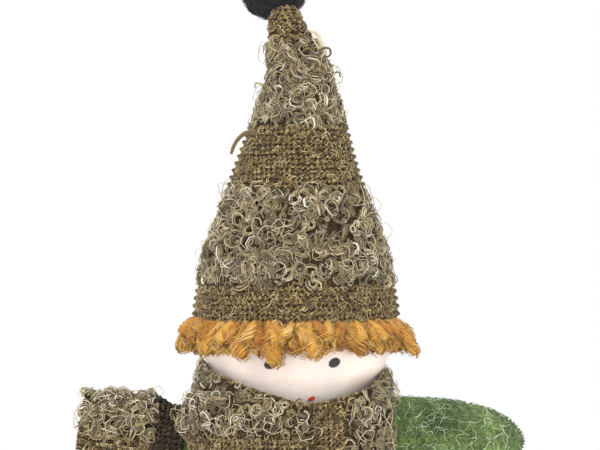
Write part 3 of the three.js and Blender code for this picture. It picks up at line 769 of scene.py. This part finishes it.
def curls(surface, chance, count, size, lift, allowed=None, fibres=5, steps=9):
    """Curls of crimped wool on a surface. The fibres of each go side by side round a ring once or a
    little more. The ring is tipped at random from the surface and gets smaller as it goes."""
    row, column = surface.scatter(count, chance, allowed)
    out = surface.read(surface.out, row, column)
    base = surface.read(surface.grid, row, column)
    axis = unit(out + 0.55 * chance.normal(0, 1, (count, 3)))
    first = unit(np.cross(axis, chance.normal(0, 1, (count, 3))))
    second = np.cross(axis, first)
    radius = chance.uniform(*size, count) / 2
    turns = chance.uniform(0.75, 1.35, count)
    share = np.linspace(0, 1, steps)
    sideways = chance.normal(0, 0.00050, (count, fibres, 2))
    angle = 2 * np.pi * turns[:, None, None] * share + chance.normal(0, 0.25, (count, fibres, 1))
    crimp = 0.13 * np.sin(2 * angle + chance.uniform(0, 6, (count, 1, 1))) + 0.09 * np.sin(
        5 * angle + chance.uniform(0, 6, (count, fibres, 1)))
    wide = radius[:, None, None] * (1 - 0.42 * share) * (1 + crimp) + sideways[..., :1]
    rise = 0.0014 * (share - 0.5) + sideways[..., 1:] * 1.3
    middle = base + out * (lift + chance.uniform(0, 0.0018, count))[:, None]
    paths = (middle[:, None, None] + wide[..., None] * (np.cos(angle)[..., None] * first[:, None, None]
             + np.sin(angle)[..., None] * second[:, None, None]) + rise[..., None] * axis[:, None, None])
    tint = np.clip(0.20 + 0.46 * chance.beta(1.8, 2.0, count)[:, None]
                   + chance.normal(0, 0.24, (count, fibres)), 0, 1)
    thick = chance.uniform(0.00017, 0.00034, (count, fibres, 1)) + 0 * share
    return paths.reshape(-1, steps, 3), thick.reshape(-1, steps), tint.ravel()


FLEECE_TOP, FLEECE_BOTTOM = 0.1495, 0.1362
FLEECE_REACH, FLEECE_SPREAD = 0.0510, 0.0062
FLEECE_CURLS, FLEECE_CURL = 180, (0.0036, 0.0070)
fleece_height = np.linspace(FLEECE_TOP, FLEECE_BOTTOM, 24)[::-1, None]
fleece_angle = np.linspace(-np.pi, np.pi, 181)
spread = FLEECE_SPREAD * np.clip((FLEECE_TOP - fleece_height) / 0.010, 0, 1)
fleece_reach = FLEECE_REACH + spread + 0 * fleece_angle
fleece_surface = Surface(np.stack([fleece_reach * np.sin(fleece_angle), -fleece_reach * np.cos(fleece_angle),
                                   fleece_height + 0 * fleece_angle], -1))
for name, sign in (("hair_curls_front", -1), ("hair_curls_back", 1)):
    paths, thick, tint = curls(fleece_surface, chance, FLEECE_CURLS, FLEECE_CURL, -0.0016,
                               lambda points: points[..., 1] * sign > 0)
    piece = fibre_piece(name, paths, 0.62 * thick, hair_finish.material, np.clip(0.25 + 0.75 * tint, 0, 1))
    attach(piece, "head")

# ---------------------------------------------------------------- hat
# Two tapered panels cut from a striped knit are sewn up the sides, stuffed, and pulled down over the
# hair. Plain stripes of chunky stitches lie between stripes of looped, curly wool.

HAT_LINE = np.array([[51.5, 149], [51.2, 157], [49, 169], [45.5, 185], [37.8, 207], [30.5, 228],
                     [24.5, 247], [18.6, 264], [13.4, 285], [10, 297], [7, 304], [0, 307.3]]) / 1000
HAT_LEAN = np.array([[149, 0], [225, 0], [255, 1.5], [274, 2], [286, -1.2], [299, -5], [310, -5]]) / 1000
HAT_CLOTH, YARN_STANDS = 0.0016, 0.0024
STITCH_WIDE, STITCH_HIGH, YARN = 0.0027, 0.0024, 0.00056
STITCH_POINTS, YARN_SIDES = 8, 4
ON_CLOTH = 0.0004
HAT_CURL, HAT_CURLS = (0.0032, 0.0080), {"lower": 570, "upper": 270}
HAT_PALE, HAT_PALES = (0.008, 0.014), {"lower": 190, "upper": 90}
PALE_STEPS = 15
HAT_FUZZ = 1400
LOOPED_BANDS = ((0.1675, 0.2150), (0.2465, 0.2885))
PLAIN_BANDS = ((0.1490, 0.1675), (0.2150, 0.2465), (0.2885, 0.3065))

# Painted shade: the cloth under all the stitches and curls is darker than the yarn, so that it shows as
# shade in the gaps between them.
painted_shade_ground = Finish("painted_shade_ground", 0.95)
painted_shade_ground.colour(painted_shade_ground.ramp(painted_shade_ground.speckle(420, 5, 0.7), (0.3, tone(30, 22, 12)),
                                    (0.6, tone(68, 53, 30)), (0.8, tone(104, 86, 52))))
painted_shade_ground.bumps(painted_shade_ground.speckle(520, 5, 0.8), 0.0018)
knit = Finish("olive_knit", 0.8, sheen=0.2)
knit.colour(knit.ramp(knit.sum(knit.stored("tint"), knit.speckle(900, 4, 0.7), 0.6),
                      (0.05, tone(52, 36, 14)), (0.35, tone(104, 82, 41)), (0.6, tone(148, 124, 72)),
                      (0.82, tone(192, 170, 112)), (1, tone(216, 202, 156))))
knit.bumps(knit.speckle(2400, 4, 0.7), 0.0006)
curl_wool = Finish("curly_wool", 0.6, sheen=0.3)
curl_wool.colour(curl_wool.ramp(curl_wool.stored("tint"), (0, tone(48, 36, 18)), (0.3, tone(102, 86, 50)),
                                (0.6, tone(150, 134, 94)), (0.85, tone(196, 184, 152)),
                                (1, tone(230, 222, 204))))


def hat_rings(rows, columns, inset, closing=False):
    """Rings of the hat from brim to tip: circles of the hat's line, drawn in by an inset, about a line
    that leans over towards the tip."""
    line = smooth_line(HAT_LINE, rows)
    inset = inset * (0.4 + 0.6 * np.clip(line[:, :1] / 0.020, 0, 1))
    radius = np.maximum(line[:, :1] - inset, 0.0004)
    height = np.minimum(line[:, 1:], HAT_LINE[-1, 1] - inset)
    lean = np.interp(height, HAT_LEAN[:, 0], HAT_LEAN[:, 1])
    angle = np.linspace(-np.pi, np.pi, columns, endpoint=closing)
    return np.stack([lean + radius * np.sin(angle), -radius * np.cos(angle), height + 0 * angle], -1)


outer = hat_rings(120, 120, YARN_STANDS)
inner = hat_rings(120, 120, YARN_STANDS + HAT_CLOTH)
tip_x = np.interp(HAT_LINE[-1, 1], HAT_LEAN[:, 0], HAT_LEAN[:, 1])
# The hat's cloth is coloured as painted shade for the gaps between its stitches and curls.
hat_cloth = new_piece("hat_cloth", *closed_skin(
    np.concatenate([inner[-2::-1], outer[:-1]]), (tip_x, 0, inner[-1, 0, 2]), (tip_x, 0, outer[-1, 0, 2])),
    painted_shade_ground.material)
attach(hat_cloth, "head")
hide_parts("hat_front", "hat_back", "hat_stuffing")


def knit_course(surface, rows, columns, lift, chance):
    """One yarn over the surface along a line of places. It swings up and down once a stitch, stands out
    at the top and the bottom of each swing, and leans as plied wool does."""
    even = np.linspace(0, 1, 400)
    known = np.linspace(0, 1, len(rows))
    line = surface.read(surface.grid, np.interp(even, known, rows), np.interp(even, known, columns))
    length = np.linalg.norm(np.diff(line, axis=0), axis=1).sum()
    steps = max(2, int(round(length / STITCH_WIDE))) * STITCH_POINTS + 1
    share = np.linspace(0, 1, steps)[None]
    turn = np.arange(steps)[None] * 2 * np.pi / STITCH_POINTS
    wander, drift = (
        np.interp(share, np.linspace(0, 1, steps // gap + 2), chance.normal(0, 1, steps // gap + 2))
        for gap in (4, 11))
    swing = STITCH_HIGH * (0.28 + 0.05 * wander) * np.sin(turn + 0.4 * wander) + 0.00030 * drift
    across = STITCH_WIDE * (0.24 * np.sin(turn) * (1 + 0.5 * drift) + 0.10 * wander)
    height = lift + 0.0005 * (1 - np.cos(2 * turn)) / 2 - 0.0002 + 0.00022 * wander + 0.00028 * drift
    path = surface.lay(np.interp(share, known, rows), np.interp(share, known, columns), swing, across,
                       height)
    return path + chance.normal(0, 0.00006, path.shape)


def knit_points(courses, chance):
    """Points, faces and tints of many courses of yarn, each thicker where it stands out. Its colour wanders
    along the yarn, and its tint is raised where it stands out and lowered where it dips into the cloth:
    painted highlight and painted shade."""
    made = []
    offset = 0
    for path in courses:
        steps = path.shape[1]
        turn = np.arange(steps) * 2 * np.pi / STITCH_POINTS
        thick = YARN * (0.80 + 0.34 * np.sin(turn) ** 2)[None]
        points, faces = strands(path, thick, YARN_SIDES)
        drift = np.interp(np.arange(steps), np.linspace(0, steps, steps // 3 + 2),
                          chance.beta(1.6, 1.8, steps // 3 + 2))
        # Painted highlight and shade: the random tint is lifted where the yarn stands out and lowered where
        # it dips.
        tint = np.clip(0.08 + 0.9 * drift * (0.45 + 0.55 * np.sin(turn) ** 2), 0, 1)
        tint = np.concatenate([np.repeat(tint, YARN_SIDES), tint[[0, -1]]])
        made.append((points, faces + offset, tint))
        offset += len(points)
    return [np.concatenate(parts) for parts in zip(*made)]


def knit_piece(name, courses, chance, body=None, yarn=knit):
    """A piece of plain stitches from the paths of its courses."""
    points, faces, tint = knit_points(courses, chance)
    piece = new_piece(name, points, faces, yarn.material)
    add_tint(piece, tint)
    if body:
        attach(piece, body)
    return piece


hat_surface = Surface(hat_rings(240, 361, YARN_STANDS, closing=True))
row_height = hat_surface.grid[:, 0, 2]
chance = np.random.default_rng(37)
courses = []
for low, high in PLAIN_BANDS:
    count = int(round((high - low) / STITCH_HIGH))
    for height in low + (np.arange(count) + 0.5) * (high - low) / count:
        row = np.interp(height, row_height, np.arange(len(row_height)))
        courses.append(knit_course(hat_surface, (row, row), (0, 360), ON_CLOTH, chance))
knit_piece("hat_plain_stripes", courses, chance, "head")


def curl_piece(name, made, body=None):
    """A piece of curly wool from paths, radii and tints."""
    piece = fibre_piece(name, made[0], made[1], curl_wool.material, made[2])
    if body:
        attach(piece, body)
    return piece


def between(points, low, high):
    """Which points lie between two heights."""
    return (points[..., 2] > low) & (points[..., 2] < high)


for (low, high), (band, count) in zip(LOOPED_BANDS, HAT_CURLS.items()):
    for side, sign in (("front", -1), ("back", 1)):
        made = curls(hat_surface, chance, count, HAT_CURL, -0.0002,
                     lambda points: between(points, low, high) & (points[..., 1] * sign > 0))
        curl_piece("hat_" + band + "_curls_" + side, made, "head")

# Short hairs of the yarn stand out of its stitches and blur them.


def yarn_fuzz(name, surface, chance, count, allowed, body=None):
    """A piece of short hairs, light and dark, that lie over plain stitches."""
    paths, thick = stray_fibres(surface, chance, count, 0.0046, 0.00019, 0.0012, 5, allowed, base=0.0008)
    tints = np.clip(chance.beta(1.0, 1.0, count) * 1.1, 0, 1)
    piece = fibre_piece(name, paths, thick, knit.material, tints)
    if body:
        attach(piece, body)
    return piece


def on_plain(points):
    """Where the hat's plain stripes lie."""
    return np.any([between(points, low, high) for low, high in PLAIN_BANDS], axis=0)


for side, sign in (("front", -1), ("back", 1)):
    yarn_fuzz("hat_yarn_fuzz_" + side, hat_surface, chance, HAT_FUZZ,
              lambda points: on_plain(points) & (points[..., 1] * sign > 0), "head")

# Long pale fibres spring out of the looped stripes, and the side seams are sewn over with yarn.


def pale_fibres(name, surface, chance, count, size, lift, allowed, body):
    """A piece of long pale fibres, each a single loose ring, that spring out of looped wool."""
    paths, thick, tint = curls(surface, chance, count, size, lift, allowed, fibres=1, steps=PALE_STEPS)
    return curl_piece(name, (paths, thick * 0.75, 0.55 + 0.45 * tint), body)


def yarn_stitches(name, paths, radius, tints, body, node):
    """A seam sewn with yarn, from the paths of its stitches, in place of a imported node."""
    piece = fibre_piece(name, paths, radius, knit.material, tints, 5)
    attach(piece, body)
    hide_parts(node)


chance = np.random.default_rng(41)
for (low, high), (band, count) in zip(LOOPED_BANDS, HAT_PALES.items()):
    pale_fibres("hat_" + band + "_pale_fibres", hat_surface, chance, count, HAT_PALE, 0.0008,
                lambda points: between(points, low + 0.002, high), "head")

seam_rows = np.arange(6, 206, 5.2)
for side, column, sign in (("left", 270.0, 1), ("right", 90.0, -1)):
    places = np.full(len(seam_rows), column)
    middle = hat_surface.read(hat_surface.grid, seam_rows, places)
    out = hat_surface.read(hat_surface.out, seam_rows, places)
    paths = stitches(middle + 0.0008 * out, np.tile([0, 1, 0.5], (len(middle), 1)), out, 0.0030, 0.0017)
    yarn_stitches("hat_seam_stitches_" + side, paths, 0.0006, chance.uniform(0.2, 0.6, len(middle)), "head",
                  "hat_seam_thread_" + side)

# A few ends of yarn were never woven in: one curves out at the left, and two loops stand out near the
# tip. Each has a thickness, a tint and the corners of its line in millimetres.
LOOSE_ENDS = (
    (0.0013, 0.22, ((-19, -12, 243), (-24, -11, 243.5), (-28, -10, 241), (-30.8, -10, 237),
                    (-32.2, -10, 233))),
    (0.0005, 0.80, ((7, -10, 294), (10.5, -10, 293), (13, -9, 288.5), (12.5, -9, 284), (9.5, -10, 288),
                    (8, -10, 292))),
    (0.0005, 0.70, ((7.5, -10, 294), (10, -10.5, 292), (11.8, -10, 288), (12, -9.5, 284.5))),
    (0.0007, 0.12, ((11, -10, 284), (14.5, -9, 285.5), (16.8, -8, 285), (17, -8, 282), (14.5, -8, 281))),
    (0.0006, 0.55, ((-13, -9, 265), (-17, -8, 267.5), (-20, -7, 268), (-20.5, -7, 265.5))),
    (0.0006, 0.25, ((16, -8, 270), (19, -7, 273), (21.5, -6, 273.5), (22, -6, 271))),
    (0.0006, 1.00, ((-44.5, -19, 173), (-46, -18, 171.5), (-46.4, -18, 169.8), (-45.8, -18.5, 168.4))),
)


PLIES = 3


def yarn_end(corners, thick, chance, plies=PLIES, steps=26):
    """A short plied end of yarn: fine strands wind round a smooth line through the corners and thin out
    towards its end."""
    line = smooth_line(np.array(corners) / 1000, steps)
    share = np.linspace(0, 1, steps)
    ahead = unit(np.gradient(line, axis=0))
    side = unit(np.cross(ahead, (0.2, 1.0, 0.1)))
    other = np.cross(ahead, side)
    turn = 2 * np.pi * (np.arange(plies)[:, None] / plies + 5 * share)[..., None]
    spread = 0.55 * thick * (1 - 0.35 * share[:, None])
    paths = line + spread * (np.cos(turn) * side + np.sin(turn) * other)
    thinning = 0.62 * thick * (1 - 0.45 * share)[None] + np.zeros((plies, 1))
    return paths + chance.normal(0, 0.00005, paths.shape), thinning


ends = [(yarn_end(corners, thick, chance), tint) for thick, tint, corners in LOOSE_ENDS]
piece = fibre_piece("hat_loose_ends", np.concatenate([paths for (paths, _), _ in ends]),
                    np.concatenate([thick for (_, thick), _ in ends]), curl_wool.material,
                    np.repeat([tint for _, tint in ends], PLIES), 5)
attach(piece, "head")

# ---------------------------------------------------------------- ball
# A ball of black felted wool, rolled hard but still fuzzy, is stitched behind the tip of the hat with
# a few turns of black thread, so that it can tip over a little.

BALL_CENTRE, BALL_RADIUS = np.array([-0.011, 0.012, 0.3175]), 0.0168
BALL_FIBRES, BALL_FIBRE = 900, {"length": 0.007, "radius": 0.00012, "lift": 0.0012}

black_felt = Finish("black_felt", 0.95, sheen=0.06)
black_mottle = black_felt.sum(black_felt.speckle(260, 5, 0.7), black_felt.speckle(1500), 0.5)
black_felt.colour(black_felt.ramp(black_mottle, (0.3, tone(9, 8, 10)), (0.6, tone(20, 19, 22)),
                                  (0.85, tone(40, 38, 42))))
black_felt.bumps(black_felt.speckle(520, 6, 0.75), 0.0016)
black_fibre = Finish("black_fibre", 0.85, sheen=0.05)
black_fibre.colour(black_fibre.ramp(black_fibre.stored("tint"), (0, tone(8, 7, 9)), (0.7, tone(30, 28, 32)),
                                    (1, tone(70, 68, 74))))

turn = np.linspace(-np.pi / 2, np.pi / 2, 74)[1:-1, None]
angle = np.linspace(0, 2 * np.pi, 97)
direction = np.stack([np.cos(turn) * np.cos(angle), np.cos(turn) * np.sin(angle),
                      np.sin(turn) + 0 * angle], -1)
x, y, z = direction[..., :1], direction[..., 1:2], direction[..., 2:]
lumps = (np.sin(5 * x + 2 * y) + np.sin(6 * y - 3) * np.sin(7 * z) + 0.5 * np.sin(13 * x) * np.sin(11 * z))
ball_grid = BALL_CENTRE + BALL_RADIUS * (1 + 0.008 * lumps) * direction
pole = np.array([0, 0, BALL_RADIUS])
ball = new_piece("felt_ball", *closed_skin(ball_grid[:, :-1], BALL_CENTRE - pole, BALL_CENTRE + pole),
                 black_felt.material)
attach(ball, "bobble")
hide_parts("bobble_ball")
chance = np.random.default_rng(53)
paths, thick = stray_fibres(Surface(ball_grid), chance, BALL_FIBRES, **BALL_FIBRE)
piece = fibre_piece("felt_ball_fuzz", paths, thick, black_fibre.material,
                    chance.beta(1.4, 2.4, BALL_FIBRES))
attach(piece, "bobble")
finish_node("bobble_thread", black_thread.material)

# ---------------------------------------------------------------- scarf
# One strip of the hat's knit, a looped stripe beside a plain one, goes once round the neck and
# laps over itself in front, where a few stitches hold it. It stands away from the neck.

WRAP = {"left": 0.0500, "right": 0.052, "flare": 0.006, "front": 0.052, "back": 0.051, "squareness": 2.6}
WRAP_CLOTH = 0.0016
LAP_START, LAP_END = 3.0, 369.0
LAP_LIFT, WRAP_INSET = 0.0026, 0.0030
BULGE, BULGE_ANGLE, BULGE_Z = 0.0045, 290, 0.1025
WRAP_LOW, WRAP_BACK_LOW = 0.0842, 0.0985
OVER_LEFT, OVER_RIGHT = 0.1132, 0.1104
WRAP_DIP, WRAP_RISE, DIP_ANGLE, LEFT_LOWER = 0.111, 0.017, 7, 0.0026
SCARF_CURL, SCARF_PALE = (0.0032, 0.0076), (0.008, 0.013)
WRAP_CURLS, WRAP_PALES, WRAP_FUZZ = 570, 120, 1300
ON_SCARF = 0.0005


def eased(value, start, end):
    """0 before the start, 1 after the end, and a smooth step between."""
    share = np.clip((value - start) / (end - start), 0, 1)
    return share * share * (3 - 2 * share)


def wrap_edges(angle):
    """Heights of the scarf's lower and upper edges at an angle, in degrees from the front. It is cut
    short over the shoulders, hangs lower at the back, and dips in front of the mouth."""
    turn = np.abs((angle + 180) % 360 - 180)
    from_dip = np.abs((angle - DIP_ANGLE + 180) % 360 - 180)
    top = WRAP_DIP + WRAP_RISE * np.where(from_dip < 90, np.abs(np.sin(np.radians(from_dip))) ** 1.3, 1)
    top = top - LEFT_LOWER * np.clip(np.sin(np.radians(angle)), 0, 1)
    over_shoulder = np.where(np.sin(np.radians(angle)) > 0, OVER_LEFT, OVER_RIGHT)
    bottom = WRAP_LOW + (over_shoulder - WRAP_LOW) * eased(turn, 66, 75)
    bottom = bottom - (over_shoulder - WRAP_BACK_LOW) * eased(turn, 106, 122)
    return bottom, top


def wrap_point(angle, z, lift):
    """Points of the scarf's outside: a rounded square round the neck, wider low on the right."""
    around = np.radians(angle)
    right = (angle + 180) % 360 - 180 < 0
    low = 1 - eased(z, 0.104, 0.116)
    width = np.where(right, WRAP["right"] + WRAP["flare"] * low, WRAP["left"])
    depth = np.where(np.cos(around) > 0, WRAP["front"], WRAP["back"])
    power = WRAP["squareness"]
    reach = np.abs(np.sin(around) / width) ** power + np.abs(np.cos(around) / depth) ** power
    reach = reach ** (-1 / power) + lift - np.where(right, 0.0024, 0.0036) * eased(z, 0.112, 0.125)
    return np.stack([reach * np.sin(around), -reach * np.cos(around), z + 0 * reach], -1)


def sheet_skin(outer, thickness):
    """A closed sheet of cloth under an outer grid: its thickness goes in from the surface, and its upper
    and lower edges are rounded."""
    surface = Surface(outer)
    share = np.linspace(0, 1, len(outer))[:, None, None]
    full = np.sqrt(np.clip(1 - np.abs(2 * share - 1) ** 7, 0, 1))
    front = outer - surface.out * thickness / 2 * (1 - full)
    back = outer - surface.out * thickness / 2 * (1 + full)
    rings = np.concatenate([front[::-1], back[1:-1]]).transpose(1, 0, 2)
    return closed_skin(rings, rings[0].mean(0), rings[-1].mean(0))


wrap_rows, wrap_columns = 56, 368
wrap_angle = np.linspace(LAP_START, LAP_END, wrap_columns)
share = np.linspace(0, 1, wrap_rows)[:, None]
bottom, top = wrap_edges(wrap_angle)
wrap_height = bottom + (top - bottom) * share
wrap_lift = (LAP_LIFT * eased(wrap_angle, 300, 356) - WRAP_INSET
             + 0.0006 * np.sin(np.radians(wrap_angle) * 7) * np.cos(3 * share)
             + BULGE * np.exp(-((wrap_angle - BULGE_ANGLE) / 20) ** 2
                              - ((wrap_height - BULGE_Z) / 0.008) ** 2))
wrap_grid = wrap_point(wrap_angle + 0 * share, wrap_height, wrap_lift)
wrap_surface = Surface(wrap_grid)
# The wrap's cloth is coloured as painted shade for the gaps between its stitches and curls.
wrap_cloth = new_piece("scarf_wrap_cloth", *sheet_skin(wrap_grid, WRAP_CLOTH), painted_shade_ground.material)
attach(wrap_cloth, "body")
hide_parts("scarf_wrap")

# The strip's plain stripe runs along the lower edge, four courses high. The under end turns down in
# front, so there the stripes are upright: plain next to the lap, then looped.
PLAIN_COURSES = 4
UPRIGHT_PLAIN = (0.0070, 0.0245)
UPRIGHT_END = 68.0
chance = np.random.default_rng(61)
tall = top - bottom
courses = []
column = np.arange(wrap_columns)
for course in range(PLAIN_COURSES):
    row = (course + 0.5) * STITCH_HIGH / tall * (wrap_rows - 1)
    for low, high in ((128, 234), (289, LAP_END)):
        here = (wrap_angle >= low) & (wrap_angle <= high)
        courses.append(knit_course(wrap_surface, row[here][::3], column[here][::3], ON_SCARF, chance))
upright = (wrap_grid[wrap_rows // 2, :, 0] < UPRIGHT_PLAIN[1]) & (wrap_angle < 90)
for height in np.arange(0.0850, 0.1145, STITCH_HIGH):
    row = (height - bottom) / tall * (wrap_rows - 1)
    here = upright & (row < wrap_rows - 2)
    if here.sum() > 8:
        courses.append(knit_course(wrap_surface, row[here][::3], column[here][::3], ON_SCARF, chance))
for low, high in ((LAP_START, 90), (270, LAP_END)):
    rim = column[(wrap_angle >= low) & (wrap_angle <= high)][::3]
    courses.append(knit_course(wrap_surface, np.full(len(rim), wrap_rows - 1.2), rim, -0.0004, chance))
wrap_knit = knit_piece("scarf_wrap_plain_stripe", courses, chance, "body")


def looped_wrap(points):
    """Where the strip is looped: above the plain stripe, or right of it on the end that turns down."""
    angle = np.degrees(np.arctan2(points[..., 0], -points[..., 1])) % 360
    lapped = np.arange(points.shape[1]) > points.shape[1] / 2
    angle = np.where(lapped & (angle < 90), angle + 360, angle)
    low, high = wrap_edges(angle)
    narrow = high - low < 0.020
    above = points[..., 2] - low > 0.0015 + np.where(narrow, 0, PLAIN_COURSES * STITCH_HIGH)
    on_upright = angle < UPRIGHT_END
    below_rim = high - points[..., 2] > 0.0008
    return np.where(on_upright, points[..., 0] > UPRIGHT_PLAIN[1], above) & below_rim


def low_looped_wrap(points):
    """Where the wrap is looped and low enough that long fibres stay clear of the mouth."""
    return looped_wrap(points) & (np.arange(len(points))[:, None] < 0.72 * wrap_rows)


wrap_fuzz = yarn_fuzz("scarf_wrap_fuzz", wrap_surface, chance, WRAP_FUZZ,
                      lambda points: ~looped_wrap(points), "body")
wrap_made = curls(wrap_surface, chance, WRAP_CURLS, SCARF_CURL, -0.0004, looped_wrap)
wrap_curls = curl_piece("scarf_wrap_curls", wrap_made, "body")
wrap_pale = pale_fibres("scarf_wrap_pale_fibres", wrap_surface, chance, WRAP_PALES, SCARF_PALE, 0.0006,
                        low_looped_wrap, "body")

tack_z = np.array([0.0955, 0.0980, 0.1005])
tack_middle = wrap_point(np.full(3, 8.6), tack_z, LAP_LIFT - WRAP_INSET + 0.0010)
paths = stitches(tack_middle, np.tile([1, 0, 0.4], (3, 1)), np.tile([0, -1, 0], (3, 1)), 0.0030, 0.0016)
yarn_stitches("scarf_tack_stitches", paths, 0.0005, np.array([0.2, 0.3, 0.25]), "body",
              "scarf_tack_thread")

# ---------------------------------------------------------------- front end of the scarf
# The under end comes out below the wrap and hangs down over the coat. It is caught only under the lap, and
# its pieces are fixed in place.

FRONT_END = {"left": 0.009, "right": 0.049, "low": 0.050, "high": 0.0865, "y": -0.0495}
UNDER_WRAP = 0.084
FRONT_CURLS, FRONT_FUZZ = 140, 240

rows, columns = 40, 60
share = np.linspace(0, 1, rows)[:, None]
x = np.linspace(FRONT_END["left"], FRONT_END["right"], columns)
height = FRONT_END["low"] + (FRONT_END["high"] - FRONT_END["low"]) * share
height = height + 0.0007 * np.sin(x * 260) * (1 - share)
y = FRONT_END["y"] + 0.0010 * np.sin(x * 190 + 1) * (1 - 0.7 * share) + 0.0022 * eased(share, 0.8, 1)
front_grid = np.stack([x + 0 * share, y, height], -1)
front_surface = Surface(front_grid)
# The front end's cloth is coloured as painted shade for the gaps between its stitches and curls.
front_cloth = new_piece("scarf_front_end_cloth", *sheet_skin(front_grid, WRAP_CLOTH), painted_shade_ground.material)
courses = []
plain = x < UPRIGHT_PLAIN[1]
for z in np.arange(FRONT_END["low"] + 0.0018, 0.0835, STITCH_HIGH):
    row = (z - FRONT_END["low"]) / (FRONT_END["high"] - FRONT_END["low"]) * (rows - 1)
    courses.append(knit_course(front_surface, (row, row), (0.5, plain.sum() - 1), ON_SCARF, chance))
front_knit = knit_piece("scarf_front_end_plain_stripe", courses, chance)
made = curls(front_surface, chance, FRONT_CURLS, SCARF_CURL, -0.0002,
             lambda points: (points[..., 0] > UPRIGHT_PLAIN[1]) & (points[..., 2] < UNDER_WRAP))
front_curls = curl_piece("scarf_front_end_curls", made)
front_fuzz = yarn_fuzz("scarf_front_end_fuzz", front_surface, chance, FRONT_FUZZ,
                       lambda points: (points[..., 0] < UPRIGHT_PLAIN[1]) & (points[..., 2] < UNDER_WRAP))
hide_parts("scarf_front_end")
for piece in (front_cloth, front_knit, front_fuzz, front_curls):
    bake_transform(piece)

# ---------------------------------------------------------------- side end of the scarf
# The upper end comes out at the right of the neck and lies over the right arm like a saddle cloth, with its
# looped stripe uppermost. It has plain stripes along the front edge and by the neck. The stripe by the neck
# is coloured dark brown as painted shade where the end passes in under the wrap, and the cloth under the
# whole end is darker than the other cloth, painted shade in the gaps between its curls.

SIDE_END = {"near": 0.0135, "far": 0.066, "clear": 0.0018, "cloth": 0.0044, "drop": 0.005, "back": 72.0}
SIDE_DROOP = 0.0022
SIDE_CURLS, SIDE_PALES, SIDE_FUZZ = 300, 60, 260

# Painted shade: dark brown yarn for the plain stripe by the neck, which lies in the shade where the end
# passes in under the wrap.
painted_shade_knit = Finish("brown_painted_shade_knit", 0.85, sheen=0.1)
painted_shade_knit.colour(painted_shade_knit.ramp(painted_shade_knit.sum(painted_shade_knit.stored("tint"), painted_shade_knit.speckle(900, 4, 0.7), 0.6),
                                (0.05, tone(26, 18, 10)), (0.5, tone(66, 52, 34)), (1, tone(132, 112, 78))))
painted_shade_knit.bumps(painted_shade_knit.speckle(2400, 4, 0.7), 0.0006)
# Painted shade: a cloth darker than the others, that shows dark in the gaps between the side end's curls.
deeper_painted_shade_ground = Finish("deeper_painted_shade_ground", 0.95)
deeper_painted_shade_ground.colour(deeper_painted_shade_ground.ramp(deeper_painted_shade_ground.speckle(420, 5, 0.7), (0.3, tone(22, 16, 9)),
                                    (0.8, tone(72, 58, 36))))
deeper_painted_shade_ground.bumps(deeper_painted_shade_ground.speckle(520, 5, 0.8), 0.0018)

rows, columns, flat_rows = 96, 70, 8
SIDE_ROOT = SHOULDERS["arm_right"][2]
deep = ARM_DEPTH + SIDE_END["clear"] + SIDE_END["cloth"]
tall = SIDE_ROOT + SIDE_END["clear"] + SIDE_END["cloth"]
over = np.radians(np.linspace(-90, SIDE_END["back"], rows - flat_rows))[:, None]
hanging = np.linspace(-SIDE_END["drop"], -0.0006, flat_rows)[:, None]
section_y = np.concatenate([np.full((flat_rows, 1), -deep), deep * np.sin(over)])
section_z = np.concatenate([hanging, tall * np.cos(over)])
along = np.linspace(SIDE_END["far"], SIDE_END["near"], columns)
ripple = 0.0007 * np.sin(along * 330 + 4 * section_z / tall) - 0.0024
ripple = ripple - 0.0020 * (1 - eased(along, 0.022, 0.032))
behind = np.clip(section_y / deep, 0, 1)
thinner = arm_height(along, SIDE_ROOT, ARM_LENGTHS["arm_right"] + 0.004) / SIDE_ROOT
taper = 1 - behind * (1 - thinner) * ARM_DEPTH / deep
droop = SIDE_DROOP * np.clip(section_z / tall, 0, 1) + 0.0050 * behind**2
droop = droop * eased(along, 0.026, SIDE_END["far"])
side_grid = in_arm("arm_right", along + 0 * section_y, section_y * (1 + ripple / deep) * taper,
                   section_z * (1 + ripple / tall) - droop)
side_surface = Surface(side_grid)
# The side end's cloth takes the darker ground of painted shade.
side_cloth = new_piece("scarf_side_end_cloth", *sheet_skin(side_grid, WRAP_CLOTH), deeper_painted_shade_ground.material)
near_plain = columns * 0.66
front_plain = 13
courses = []
for row in np.linspace(1.5, front_plain - 1, 3):
    courses.append(knit_course(side_surface, (row, row), (0.5, near_plain), ON_SCARF, chance))
side_knit = knit_piece("scarf_side_end_plain_stripe", courses, chance, "scarf_side")
# The stripe by the neck is drawn in the dark brown yarn of painted shade.
length = np.linalg.norm(np.diff(side_grid[:, columns // 2], axis=0), axis=1).sum()
courses = []
for row in np.linspace(1.5, rows - 2, int(length / STITCH_HIGH)):
    courses.append(knit_course(side_surface, (row, row), (near_plain, columns - 2), ON_SCARF, chance))
side_painted_shade = knit_piece("scarf_side_end_painted_shade_stripe", courses, chance, "scarf_side", painted_shade_knit)


def plain_side(points):
    """Where the side end has its olive plain stripe: along the front edge, away from the neck."""
    row, column = np.indices(points.shape[:2])
    return (row <= front_plain) & (column < near_plain)


def looped_side(points):
    """Where the side end is looped: above the plain stripe of its front edge, and away from the neck."""
    row, column = np.indices(points.shape[:2])
    return (row > front_plain) & (column < near_plain)


side_fuzz = yarn_fuzz("scarf_side_end_fuzz", side_surface, chance, SIDE_FUZZ, plain_side, "scarf_side")
side_made = curls(side_surface, chance, SIDE_CURLS, SCARF_CURL, -0.0002, looped_side)
side_curls = curl_piece("scarf_side_end_curls", side_made, "scarf_side")
side_pale = pale_fibres("scarf_side_end_pale_fibres", side_surface, chance, SIDE_PALES, SCARF_PALE, 0.0006,
                        looped_side, "scarf_side")
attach(side_cloth, "scarf_side")
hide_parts("scarf_side_end")
